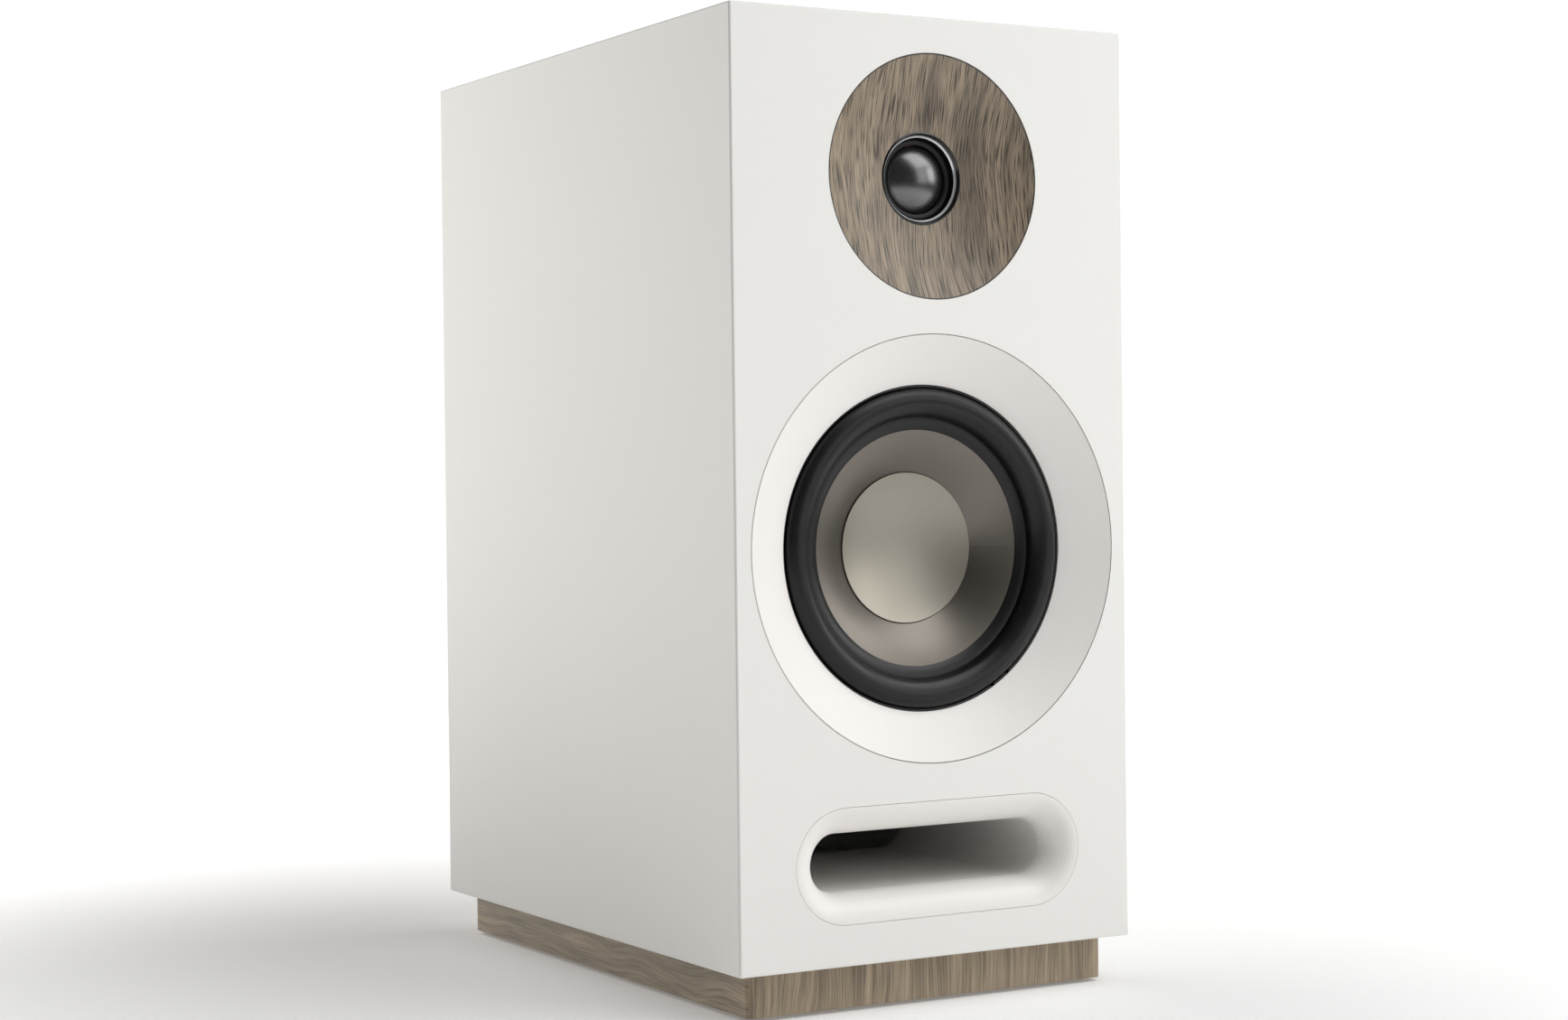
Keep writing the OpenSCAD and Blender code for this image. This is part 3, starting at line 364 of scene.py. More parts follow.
@dataclass(frozen=True)
class WoodPrint:
    """Grey-brown walnut print: short dark pores in rows, streaks and slow bands along one direction."""

    name: str
    run: GrainRun
    light: Colour = tone(166, 150, 128)
    dark: Colour = tone(42, 33, 25)
    row: float = 0.42
    pore_length: float = 13.0
    streak: float = 2.2
    streak_length: float = 48.0
    band: float = 9.0
    band_length: float = 90.0
    sway: float = 9.0
    sway_cell: tuple[float, float] = (34.0, 60.0)
    wave: float = 0.5
    wave_cell: tuple[float, float] = (7.0, 24.0)
    layer_weight: float = 0.9
    layer_limits: tuple[float, float] = (0.45, 1.25)
    pore_limits: tuple[float, float] = (0.38, 0.54)
    fine_share: float = 0.25
    dusk: float = 0.6
    pore_share: float = 0.85
    pore_depth: float = 0.02
    roughness: float = 0.48
    roughness_spread: float = 0.25
    # hearts: dark grain figure, in part painted shade where the dish turns from the light
    hearts_and_shade: tuple[tuple[float, float, float, float], ...] = ()
    heart_and_shade_limits: tuple[float, float] = (0.1, 1.1)
    heart_and_shade_weight: float = 0.52
    side_limits: tuple[float, float] = (0.6, 0.8)
    # rim: centre height and radius of the print's round edge, darkened as painted seam shadow
    rim: tuple[float, float] | None = None
    rim_w: float = 0.45
    rim_shade: float = 0.6

    def _coordinates(self, shade: Shade) -> tuple[Value, Value]:
        """Distance across and along the grain, in millimetres.

        Args:
            shade: the material being made.

        Returns:
            Across and along.
        """
        x, y, z = shade.position()
        if self.run is GrainRun.UPRIGHT:
            return x, z
        side = abs(shade.facing()[0]).ramp(*self.side_limits)
        front = 1 - side
        return z * side + x * front, y * side + z * front

    def _hearts_and_painted_shade(self, shade: Shade) -> Value | float:
        """Long dark hearts in the grain, in part painted shade, each given as a centre, a width and a height.

        Args:
            shade: the material being made.

        Returns:
            1 in the middle of a heart and 0 outside them all.
        """
        share: Value | float = 0.0
        x, _, z = shade.position()
        for centre_x, centre_z, wide, tall in self.hearts_and_shade:
            across, along = (x - centre_x) / wide, (z - centre_z) / tall
            share = share + (1 - (across * across + along * along).root().ramp(*self.heart_and_shade_limits))
        return share

    def _rim_shadow(self, shade: Shade) -> Value | float:
        """Painted shadow of the seam round the print's edge, where it has a round one.

        Args:
            shade: the material being made.

        Returns:
            1 on the edge and 0 inside it.
        """
        if self.rim is None:
            return 0.0
        x, _, z = shade.position()
        up = z - self.rim[0]
        return (x * x + up * up).root().ramp(self.rim[1] - self.rim_w, self.rim[1] - self.rim_w / 2)

    def material(self) -> bpy.types.Material:
        """Makes the material. The third coordinate of each noise only keeps the layers apart."""
        shade = Shade(self.name)
        across, along = self._coordinates(shade)
        drift = shade.noise((across / self.sway_cell[0], along / self.sway_cell[1], 3.0), 1.0) - MIDDLE
        wave = shade.noise((across / self.wave_cell[0], along / self.wave_cell[1], 7.0), 1.0) - MIDDLE
        line = across + drift * self.sway + wave * self.wave
        rows = shade.noise((line / self.row, along / self.pore_length, 1.0), 1.0)
        fine = shade.noise((line / (self.row / 2), along / (self.pore_length / 2), 5.0), 1.0)
        pores = (rows * (1 - self.fine_share) + fine * self.fine_share).ramp(*self.pore_limits)
        streak = shade.noise((line / self.streak, along / self.streak_length, 2.0))
        band = shade.noise((line / self.band, along / self.band_length, 4.0))
        layers = band * self.layer_weight + streak * self.layer_weight
        # the hearts darken the grain: figure, and in part painted shade
        share = (layers - self._hearts_and_painted_shade(shade) * self.heart_and_shade_weight).ramp(*self.layer_limits)
        body = shade.blend(share, shade.blend(self.dusk, self.light, self.dark), self.light)
        grained = shade.blend((1 - pores) * self.pore_share, body, self.dark)
        # painted shadow: the print darkens towards its round edge, in the seam
        shade.set(Base_Color=shade.blend(self._rim_shadow(shade), grained, scaled(self.dark, self.rim_shade)))
        shade.set(Roughness=self.roughness + (rows - MIDDLE) * self.roughness_spread)
        shade.bump(pores, self.pore_depth)
        return shade.material


@dataclass(frozen=True)
class Moulding:
    """Moulded or painted plastic: one colour with a spark-eroded grain and slow unevenness."""

    name: str
    colour: Colour
    roughness: float = 0.45
    grain: float = 0.25
    grain_depth: float = 0.004
    grain_share: float = 0.4
    grain_gloss: float = 0.1
    cloud: float = 30.0
    unevenness: float = 0.06
    coat: float = 0.0
    coat_roughness: float = 0.05
    gloss_index: float = 1.5

    def material(self) -> bpy.types.Material:
        """Makes the material."""
        shade = Shade(self.name)
        fine = shade.grain(self.grain, FINE_DETAIL)
        cloud = shade.grain(self.cloud)
        share = cloud * (1 - self.grain_share) + fine * self.grain_share
        shade.set(Base_Color=shade.blend(share, scaled(self.colour, 1 - self.unevenness), self.colour))
        shade.set(Roughness=self.roughness + (fine - MIDDLE) * self.grain_gloss)
        shade.set(Coat_Weight=self.coat, Coat_Roughness=self.coat_roughness, IOR=self.gloss_index)
        shade.bump(fine, self.grain_depth)
        return shade.material


@dataclass(frozen=True)
class RimWithPaintedHighlight:
    """Gloss black ring with a painted highlight: a bright, partly metallic line on its inner bead."""

    name: str
    centre_z: float
    black: Colour = (0.003, 0.003, 0.0032)
    highlight_colour: Colour = tone(226, 228, 230)
    highlight_r: float = 15.75
    highlight_w: float = 0.38
    highlight_soft: float = 0.6
    highlight_metal: float = 0.45
    swirl: float = 1.2
    swirl_gloss: float = 0.16
    swirl_depth: float = 0.002
    roughness: float = 0.2

    def material(self) -> bpy.types.Material:
        """Makes the material."""
        shade = Shade(self.name)
        x, _, z = shade.position()
        up = z - self.centre_z
        off = abs((x * x + up * up).root() - self.highlight_r)
        # painted highlight: a bright band of colour round the inner bead
        line = 1 - off.ramp(self.highlight_w * self.highlight_soft, self.highlight_w)
        swirl = shade.grain(self.swirl, FINE_DETAIL)
        shade.set(Base_Color=shade.blend(line, self.black, self.highlight_colour), Metallic=line * self.highlight_metal)
        shade.set(Roughness=self.roughness + (swirl - MIDDLE) * self.swirl_gloss)
        shade.bump(swirl, self.swirl_depth)
        return shade.material


class Brushing(Enum):
    """How a metal's surface was worked."""

    GRAINED = "fine even grain"
    TURNED = "rings round the driver's axis"
    CAST = "rough casting under powder coat"


@dataclass(frozen=True)
class Metal:
    """Bare, plated or coated metal."""

    name: str
    colour: Colour
    roughness: float = 0.35
    metallic: float = 1.0
    brushing: Brushing = Brushing.GRAINED
    pitch: float = 0.3
    depth: float = 0.003
    contrast: float = 0.12
    relief_share: float = 0.7
    relief_gloss: float = 0.15
    cloud: float = 14.0
    cast_scale: float = 4.0
    centre_z: float = 0.0

    def _relief(self, shade: Shade) -> Value:
        """The surface's small relief, round 0.5."""
        x, y, z = shade.position()
        if self.brushing is Brushing.TURNED:
            up = z - self.centre_z
            radius = (x * x + up * up).root()
            return shade.noise((radius / self.pitch, y / self.pitch, 0.0))
        if self.brushing is Brushing.CAST:
            return shade.grain(self.pitch * self.cast_scale, FINE_DETAIL + 1)
        return shade.grain(self.pitch, FINE_DETAIL)

    def material(self) -> bpy.types.Material:
        """Makes the material."""
        shade = Shade(self.name)
        relief = self._relief(shade)
        cloud = shade.grain(self.cloud)
        share = relief * self.relief_share + cloud * (1 - self.relief_share)
        shade.set(Base_Color=shade.blend(share, scaled(self.colour, 1 - self.contrast), self.colour))
        shade.set(Metallic=self.metallic, Roughness=self.roughness + (relief - MIDDLE) * self.relief_gloss)
        shade.bump(relief, self.depth)
        return shade.material


@dataclass(frozen=True)
class Rubber:
    """Satin rubber with a faint bloom."""

    name: str
    colour: Colour = (0.004, 0.004, 0.0042)
    roughness: float = 0.34
    grain: float = 0.2
    grain_depth: float = 0.003
    bloom: float = 1.4
    bloom_size: float = 8.0
    bloom_limits: tuple[float, float] = (0.35, 0.8)
    bloom_gloss: float = 0.14
    gloss: float = 0.32

    def material(self) -> bpy.types.Material:
        """Makes the material."""
        shade = Shade(self.name)
        fine = shade.grain(self.grain, FINE_DETAIL)
        cloud = shade.grain(self.bloom_size, FINE_DETAIL)
        share = cloud.ramp(*self.bloom_limits)
        shade.set(Base_Color=shade.blend(share, self.colour, scaled(self.colour, self.bloom)))
        shade.set(Roughness=self.roughness + (cloud - MIDDLE) * self.bloom_gloss)
        shade.set(Specular_IOR_Level=self.gloss)
        shade.bump(fine, self.grain_depth)
        return shade.material


@dataclass(frozen=True)
class Weave:
    """Woven cloth in the plane of a driver, with threads both ways."""

    name: str
    colour: Colour
    thread: float = 0.5
    roughness: float = 0.8
    coat: float = 0.0
    depth: float = 0.05
    hollow_shade: float = 0.6
    weave_share: float = 0.7
    fuzz_size: float = 0.6
    fuzz_gloss: float = 0.15

    def material(self) -> bpy.types.Material:
        """Makes the material."""
        shade = Shade(self.name)
        x, _, z = shade.position()
        turn = math.pi / self.thread
        warp = abs((x * turn).sine())
        weft = abs((z * turn).sine())
        over = warp * weft
        fuzz = shade.grain(self.thread * self.fuzz_size)
        share = over * self.weave_share + fuzz * (1 - self.weave_share)
        shade.set(Base_Color=shade.blend(share, scaled(self.colour, self.hollow_shade), self.colour))
        shade.set(Roughness=self.roughness + (fuzz - MIDDLE) * self.fuzz_gloss, Coat_Weight=self.coat)
        shade.bump(over, self.depth)
        return shade.material


@dataclass(frozen=True)
class Winding:
    """Layers of enamelled wire, seen as close ridges along one row axis."""

    name: str
    axis: int = 1
    wire: float = 0.8
    colour: Colour = tone(176, 98, 52)
    groove_shade: float = 0.35
    ridge_share: float = 0.8
    ridge_depth: float = 0.4
    shine_size: float = 1.5
    shine_gloss: float = 0.15
    metallic: float = 0.85
    roughness: float = 0.28

    def material(self) -> bpy.types.Material:
        """Makes the material."""
        shade = Shade(self.name)
        along = shade.position()[self.axis]
        ridge = abs((along * (math.pi / self.wire)).sine())
        shine = shade.grain(self.shine_size)
        share = ridge * self.ridge_share + shine * (1 - self.ridge_share)
        shade.set(Base_Color=shade.blend(share, scaled(self.colour, self.groove_shade), self.colour))
        shade.set(Metallic=self.metallic, Roughness=self.roughness + shine * self.shine_gloss)
        shade.bump(ridge, self.wire * self.ridge_depth)
        return shade.material


@dataclass(frozen=True)
class Foam:
    """Open or felted filling: pores or fibres all over."""

    name: str
    colour: Colour
    pore: float = 0.8
    depth: float = 0.3
    pore_share: float = 0.6
    tuft: float = 9.0
    hollow_shade: float = 0.7
    roughness: float = 0.9
    pore_gloss: float = 0.1

    def material(self) -> bpy.types.Material:
        """Makes the material."""
        shade = Shade(self.name)
        pores = shade.grain(self.pore, FINE_DETAIL + 1)
        tufts = shade.grain(self.pore * self.tuft, FINE_DETAIL)
        share = pores * self.pore_share + tufts * (1 - self.pore_share)
        shade.set(Base_Color=shade.blend(share, scaled(self.colour, self.hollow_shade), self.colour))
        shade.set(Roughness=self.roughness + (pores - MIDDLE) * self.pore_gloss)
        shade.bump(pores, self.depth)
        return shade.material


@dataclass(frozen=True)
class CircuitBoard:
    """Solder mask over wide copper tracks."""

    name: str = "solder_mask"
    mask: Colour = tone(20, 84, 44)
    track: Colour = tone(44, 120, 62)
    route: tuple[float, float] = (26.0, 15.0)
    route_edge: tuple[float, float] = (0.012, 0.02)
    copper_step: float = 0.04
    roughness: float = 0.32
    stain: float = 2.0
    stain_gloss: float = 0.1

    def material(self) -> bpy.types.Material:
        """Makes the material."""
        shade = Shade(self.name)
        x, _, z = shade.position()
        route = shade.noise((x / self.route[0], 0.0, z / self.route[1]), 0.0)
        edge = abs(route - MIDDLE).ramp(*self.route_edge)
        shade.set(Base_Color=shade.blend(edge, self.mask, self.track))
        shade.set(Roughness=self.roughness + shade.grain(self.stain) * self.stain_gloss)
        shade.bump(edge, self.copper_step)
        return shade.material


# --- mesh helpers ---


def new_piece(
    name: str, points: Sequence[Sequence[float]], faces: Sequence[Sequence[int]]
) -> bpy.types.Object:
    """A mesh piece from points in metres and faces.

    Args:
        name: the piece's name.
        points: its vertices, in the row frame.
        faces: its faces.

    Returns:
        The object, in the scene.
    """
    mesh = bpy.data.meshes.new(name)
    mesh.from_pydata([tuple(p) for p in points], [], [tuple(f) for f in faces])
    mesh.validate()
    work = bmesh.new()
    work.from_mesh(mesh)
    bmesh.ops.recalc_face_normals(work, faces=work.faces)
    work.to_mesh(mesh)
    work.free()
    piece = bpy.data.objects.new(name, mesh)
    bpy.context.scene.collection.objects.link(piece)
    return piece


def smooth(piece: bpy.types.Object, crease: float = 35.0) -> None:
    """Shades a piece smooth, but keeps edges over an angle in degrees sharp."""
    piece.data.polygons.foreach_set("use_smooth", [True] * len(piece.data.polygons))
    piece.data.set_sharp_from_angle(angle=math.radians(crease))


def dress(piece: bpy.types.Object, material: bpy.types.Material) -> None:
    """Gives a piece or CAD node one material."""
    if piece.material_slots:
        piece.material_slots[0].material = material
    else:
        piece.data.materials.append(material)


@dataclass(frozen=True)
class Axis:
    """A driver's axis: points into the cabinet from the front face."""

    front_y: float
    height: float

    def place(self, radius: float, depth: float, angle: float) -> Point:
        """A point in metres from a radius and depth in millimetres and an angle in radians."""
        y = self.front_y + depth * MM
        return radius * MM * math.cos(angle), y, self.height + radius * MM * math.sin(angle)


def turned(name: str, outline: Outline, axis: Axis, steps: int = 128) -> bpy.types.Object:
    """A closed turned piece.

    Args:
        name: the piece's name.
        outline: a closed outline of radius and depth, in millimetres.
        axis: the axis it is turned about.
        steps: points round the turn.

    Returns:
        The piece.
    """
    count = len(outline)
    angles = [2 * math.pi * k / steps for k in range(steps)]
    points = [axis.place(r, d, a) for a in angles for r, d in outline]
    faces = []
    for k in range(steps):
        here, there = k * count, (k + 1) % steps * count
        for i in range(count):
            j = (i + 1) % count
            faces.append((here + i, here + j, there + j, there + i))
    piece = new_piece(name, points, faces)
    work = bmesh.new()
    work.from_mesh(piece.data)
    bmesh.ops.remove_doubles(work, verts=work.verts, dist=1e-6)
    work.to_mesh(piece.data)
    work.free()
    smooth(piece)
    return piece


def stretch(piece: bpy.types.Object, share: Share) -> None:
    """Bakes a soft piece's transform into its mesh and works out how much each point would follow a moving
    body; the shares are not kept.

    Args:
        piece: the soft piece, with no parent.
        share: for points in metres, how much each follows the moving body.
    """
    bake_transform(piece)
    points = np.array([v.co for v in piece.data.vertices], float).reshape(-1, 3)
    weights = np.clip(share(points), 0, 1).astype(np.float32)


def radial_share(axis: Axis, moving_r: float, still_r: float) -> Share:
    """How much a ring follows its middle: all at moving_r and not at all at still_r, in millimetres."""

    def share(points: np.ndarray) -> np.ndarray:
        """The share at each point."""
        radius = np.hypot(points[:, 0], points[:, 2] - axis.height) / MM
        along = np.clip((still_r - radius) / (still_r - moving_r), 0, 1)
        return along * along * (3 - 2 * along)

    return share


LEAD_STEPS = 24  # sections between two points of a lead's route
STRAND_SIDES = 6  # faces across one strand
STRAND_DEPTH = 0.1  # of the groove between two strands, as a share of the lead's radius


def swept(
    name: str, routes: Sequence[Sequence[Point]], radius: float, strands: int, lay: float
) -> bpy.types.Object:
    """Braided leads: round rods whose strands wind along them.

    Args:
        name: the piece's name.
        routes: the points of each lead in metres, which a smooth curve goes through.
        radius: of a lead, in millimetres.
        strands: how many strands show round a lead.
        lay: length of a strand's turn, in millimetres.

    Returns:
        One piece with every lead.
    """
    per, sides = LEAD_STEPS, strands * STRAND_SIDES
    points: list[Vector] = []
    faces: list[tuple[int, ...]] = []
    for route in routes:
        line = []
        for i in range(len(route) - 1):
            a, b, c, d = (Vector(route[min(max(i + k, 0), len(route) - 1)]) for k in (-1, 0, 1, 2))
            for k in range(per + (i == len(route) - 2)):
                t = k / per
                bend = (2 * a - 5 * b + 4 * c - d) * t * t + (3 * b - a - 3 * c + d) * t**3
                line.append(0.5 * (2 * b + (c - a) * t + bend))
        start, run = len(points), 0.0
        side = Vector((1.0, 0.0, 0.0))
        for i, place in enumerate(line):
            along = (line[min(i + 1, len(line) - 1)] - line[max(i - 1, 0)]).normalized()
            side = (side - along * side.dot(along)).normalized()
            other = along.cross(side)
            run += (place - line[max(i - 1, 0)]).length / MM
            for k in range(sides):
                turn = 2 * math.pi * k / sides
                groove = STRAND_DEPTH * math.cos(strands * (turn - 2 * math.pi * run / lay))
                reach = radius * (1 - STRAND_DEPTH + groove)
                points.append(place + (side * math.cos(turn) + other * math.sin(turn)) * reach * MM)
        for i in range(len(line) - 1):
            here = start + i * sides
            for k in range(sides):
                n = (k + 1) % sides
                faces.append((here + k, here + n, here + sides + n, here + sides + k))
        faces.append(tuple(range(start, start + sides)))
        faces.append(tuple(range(len(points) - sides, len(points))))
    piece = new_piece(name, points, faces)
    smooth(piece, 60)
    return piece


# --- sub-assemblies: each makes its soft pieces and dresses its CAD nodes ---


def finish(material: bpy.types.Material, *names: str) -> None:
    """Gives CAD nodes a material.

    Args:
        material: the finish.
        names: the nodes.
    """
    for name in names:
        dress(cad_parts[name], material)
        log.info("finish %s on %s", material.name, name)


def turned_steel(name: str, centre_z: float) -> Metal:
    """Zinc-plated steel turned about a driver's axis, at a height in millimetres."""
    return Metal(name, tone(196, 197, 200), 0.32, brushing=Brushing.TURNED, centre_z=centre_z)


class Stock:
    """Finishes that several sub-assemblies share, each made once."""

    def __init__(self) -> None:
        """Makes them."""
        self.black = Moulding(
            "black_moulding", (0.011, 0.011, 0.0115),
            roughness=0.42, grain=0.3, grain_depth=0.01, unevenness=0.2,
        ).material()
        self.white = Moulding(
            "white_moulding", tone(240, 237, 233),
            roughness=0.4, grain=0.5, grain_depth=0.002, unevenness=0.015,
        ).material()
        self.screw = Metal("black_screw", tone(60, 60, 62), roughness=0.4, metallic=0.8).material()
        self.tin = Metal("tinned_tab", tone(205, 203, 192), roughness=0.3).material()
        self.coil = Winding("voice_coil_wire", wire=0.3).material()
        self.ferrite = Moulding(
            "ferrite", tone(58, 58, 60),
            roughness=0.6, grain=0.8, grain_depth=0.02, unevenness=0.25,
        ).material()


@dataclass
class Cabinet:
    """The wrapped box, its wood-print plinth and feet, and the fleece inside."""

    stock: Stock
    disc: tuple[float, float]
    trim: tuple[float, float]
    pad_name: str = "acoustic_fleece"
    pad_cuts: int = 15
    pad_swell: float = 2.5
    pad_fill: float = 0.5
    pad_crown: int = 4
    pad_ripple: float = 0.4
    pad_waves: tuple[tuple[float, float], ...] = ((9.1, 7.3), (8.2, 5.1))

    def wadding(self) -> bpy.types.Object:
        """Makes the pad: a crowned block whose sides pull in between its corners."""
        low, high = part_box("acoustic_wadding")
        centre, half = (low + high) / 2, (high - low) / 2
        mesh = bpy.data.meshes.new(self.pad_name)
        work = bmesh.new()
        bmesh.ops.create_cube(work, size=2.0)
        bmesh.ops.subdivide_edges(work, edges=work.edges[:], cuts=self.pad_cuts, use_grid_fill=True)
        inset = self.pad_swell * MM
        (x_wave, z_wave), (y_wave, cross_wave) = self.pad_waves
        for vert in work.verts:
            unit = vert.co.copy()
            across = [max(abs(unit[(k + 1) % 3]), abs(unit[(k + 2) % 3])) for k in range(3)]
            crown = [1 - share**self.pad_crown for share in across]
            wave = math.sin(unit.x * x_wave + unit.z * z_wave)
            ripple = 0.5 + 0.5 * wave * math.cos(unit.y * y_wave + unit.x * cross_wave)
            for k in range(3):
                reach = half[k] - inset * (1 - crown[k] * (1 - self.pad_ripple + self.pad_ripple * ripple))
                vert.co[k] = centre[k] + unit[k] * reach
        work.to_mesh(mesh)
        work.free()
        piece = bpy.data.objects.new(self.pad_name, mesh)
        bpy.context.scene.collection.objects.link(piece)
        smooth(piece, 60)
        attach(piece, "cabinet")
        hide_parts("acoustic_wadding")
        dress(piece, Foam("fleece", tone(226, 224, 216), pore=1.2, depth=0.8).material())
        return piece

    def build(self) -> None:
        """Dresses the boards, plinth, feet and gaskets, and makes the pad."""
        boards = ("left_side_panel", "right_side_panel", "top_panel", "bottom_panel", "rear_panel")
        finish(VinylWrap().material(), *boards)
        # the baffle's wrap carries painted shadow lines in the seams round the tweeter disc and the woofer
        # trim
        finish(VinylWrap("white_vinyl_seam_shadow", cuts=(self.disc, self.trim)).material(), "front_baffle")
        plinth = WoodPrint(
            "plinth_print",
            GrainRun.ROUND_THE_PLINTH,
            light=tone(178, 160, 134),
            row=0.55,
            pore_length=30.0,
            sway=14.0,
            pore_share=0.42,
        )
        finish(plinth.material(), "plinth")
        finish(Rubber("foot_rubber", roughness=0.6).material(), "rubber_feet")
        finish(Foam("gasket_foam", tone(44, 44, 46), pore=0.4, depth=0.1).material(), "foam_gaskets")
        finish(self.stock.screw, "plinth_screws")
        log.info("cabinet: %s", self.wadding().name)


@dataclass
class Woofer:
    """The woofer: its suspension and leads are made here, round the CAD motor, basket and cone."""

    stock: Stock
    cone_r: float = 44.3
    cone_top: float = 14.4
    cone_slope: float = 0.32
    cone_curve: float = 0.0113
    lip_w: float = 4.7
    lip_rise: float = 0.2
    lip_inset: float = 0.6
    lip_edge: tuple[tuple[float, float], ...] = ((0.12, 0.38), (0.0, 0.25))
    valley: tuple[tuple[float, float], ...] = ((0.7, 0.45), (2.2, 0.42))
    bond: float = 0.02
    roll_w: float = 11.0
    roll_rise: float = 5.0
    roll_power: float = 0.85
    roll_steps: int = 48
    flange_w: float = 4.1
    flange_edge: float = 0.01
    skin: float = 0.6
    flange_back: float = 12.0
    spider_waves: int = 5
    spider_amp: float = 1.2
    spider_depth: float = 42.0
    spider_in: float = 16.4
    spider_out: float = 42.0
    spider_rim: float = 4.0
    spider_flat: float = 1.0
    spider_skin: float = 0.38
    wave_steps: int = 16
    lead_r: float = 0.5
    lead_start: tuple[float, float] = (18.9, 3.0)
    lead_slack: float = 35.0
    lead_spread: tuple[float, float] = (4.0, 5.0)
    lead_steps: tuple[float, float] = (8.0, 18.0)
    lead_end: float = 39.2
    lead_strands: int = 5
    lead_lay: float = 4.0
    lead_clear: float = 1.4
    lead_root: float = 0.6
    axis: Axis = field(init=False)
    trim_r: float = field(init=False)

    def __post_init__(self) -> None:
        """Finds the axis and radius from the trim ring's box."""
        low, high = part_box("woofer_trim_ring")
        self.axis = Axis(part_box("front_baffle")[0].y, (low.z + high.z) / 2)
        self.trim_r = (high.z - low.z) / 2 / MM

    def cone_depth(self, radius: float) -> float:
        """Depth of the cone's face at a radius, in millimetres."""
        run = self.cone_r - radius
        return self.cone_top + self.cone_slope * run + self.cone_curve * max(run, 0.0) ** 2

    def surround_outline(self) -> list[tuple[float, float]]:
        """The surround's section: clamped flange, half roll, valley and the lip on the cone."""
        inner = self.cone_r + self.lip_w
        outer = inner + self.roll_w
        mid, half = (inner + outer) / 2, self.roll_w / 2
        top = self.flange_back - self.skin
        slope = (top - self.cone_depth(inner) + self.lip_rise) / self.roll_w
        lip_r = inner - self.lip_inset

        def foot(radius: float) -> float:
            """Depth of the line through both feet of the roll."""
            return top + slope * (radius - outer)

        over, under = [], []
        for k in range(self.roll_steps + 1):
            turn = math.pi * k / self.roll_steps
            rise = self.roll_rise * math.sin(turn) ** self.roll_power
            radius = mid + half * math.cos(turn)
            over.append((radius, foot(radius) - rise))
            radius = mid + (half - self.skin) * math.cos(turn)
            under.append((radius, foot(radius) + self.skin - rise))
        edge, edge_r = self.flange_edge, outer + self.flange_w
        flange = [(edge_r, self.flange_back - edge), (edge_r, top + edge)]
        valley = [(inner - back, self.cone_depth(inner - back) - rise) for back, rise in self.valley]
        rim = [(self.cone_r + out, self.cone_top - rise) for out, rise in self.lip_edge]
        seat = [(self.cone_r, self.cone_top - self.bond), (lip_r, self.cone_depth(lip_r) - self.bond)]
        return flange + over + valley + rim + seat + list(reversed(under))

    def surround(self) -> bpy.types.Object:
        """Makes the rubber surround."""
        piece = turned("woofer_rubber_surround", self.surround_outline(), self.axis, steps=160)
        inner = self.cone_r + self.lip_w
        stretch(piece, radial_share(self.axis, inner, inner + self.roll_w))
        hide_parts("woofer_surround")
        dress(piece, Rubber("surround_rubber").material())
        return piece

    def spider(self) -> bpy.types.Object:
        """Makes the corrugated spider."""
        start, end = self.spider_in + self.spider_flat, self.spider_out - self.spider_rim
        steps = self.spider_waves * self.wave_steps
        top = []
        for k in range(steps + 1):
            t = k / steps
            depth = self.spider_depth + self.spider_amp * math.sin(2 * math.pi * self.spider_waves * t)
            top.append((start + (end - start) * t, depth))
        inside, outside = (self.spider_in + self.bond, self.spider_depth), (self.spider_out, self.spider_depth)
        outline = [inside, *top, outside]
        outline += [(r, d + self.spider_skin) for r, d in reversed(outline)]
        piece = turned("woofer_cloth_spider", outline, self.axis, steps=96)
        stretch(piece, radial_share(self.axis, start, end))
        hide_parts("woofer_spider")
        dress(piece, Weave("spider_weave", tone(196, 160, 88), thread=0.7).material())
        return piece

    def leads(self) -> bpy.types.Object:
        """Makes the two braided leads, from the cone's back to the terminal strip."""
        strip = (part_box("woofer_terminal_strip")[0].z - self.axis.height) / MM - self.lead_root
        (start_r, start_x), (near_x, far_x), (near, far) = self.lead_start, self.lead_spread, self.lead_steps
        stations = [
            (start_r, start_x, self.cone_depth(start_r) + self.lead_clear),
            (start_r + near, near_x, self.lead_slack),
            (start_r + far, far_x, self.lead_slack + self.lead_r),
            (strip, far_x, self.lead_end),
        ]
        front, centre = self.axis.front_y, self.axis.height
        routes = [
            [(side * x * MM, front + depth * MM, centre + up * MM) for up, x, depth in stations]
            for side in (-1, 1)
        ]
        piece = swept("woofer_braided_leads", routes, self.lead_r, self.lead_strands, self.lead_lay)
        share = radial_share(self.axis, start_r + self.lead_root, strip - self.lead_root)
        stretch(piece, share)
        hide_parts("woofer_tinsel_leads")
        dress(piece, Winding("braided_lead", axis=2, wire=0.4, colour=tone(190, 150, 100)).material())
        return piece

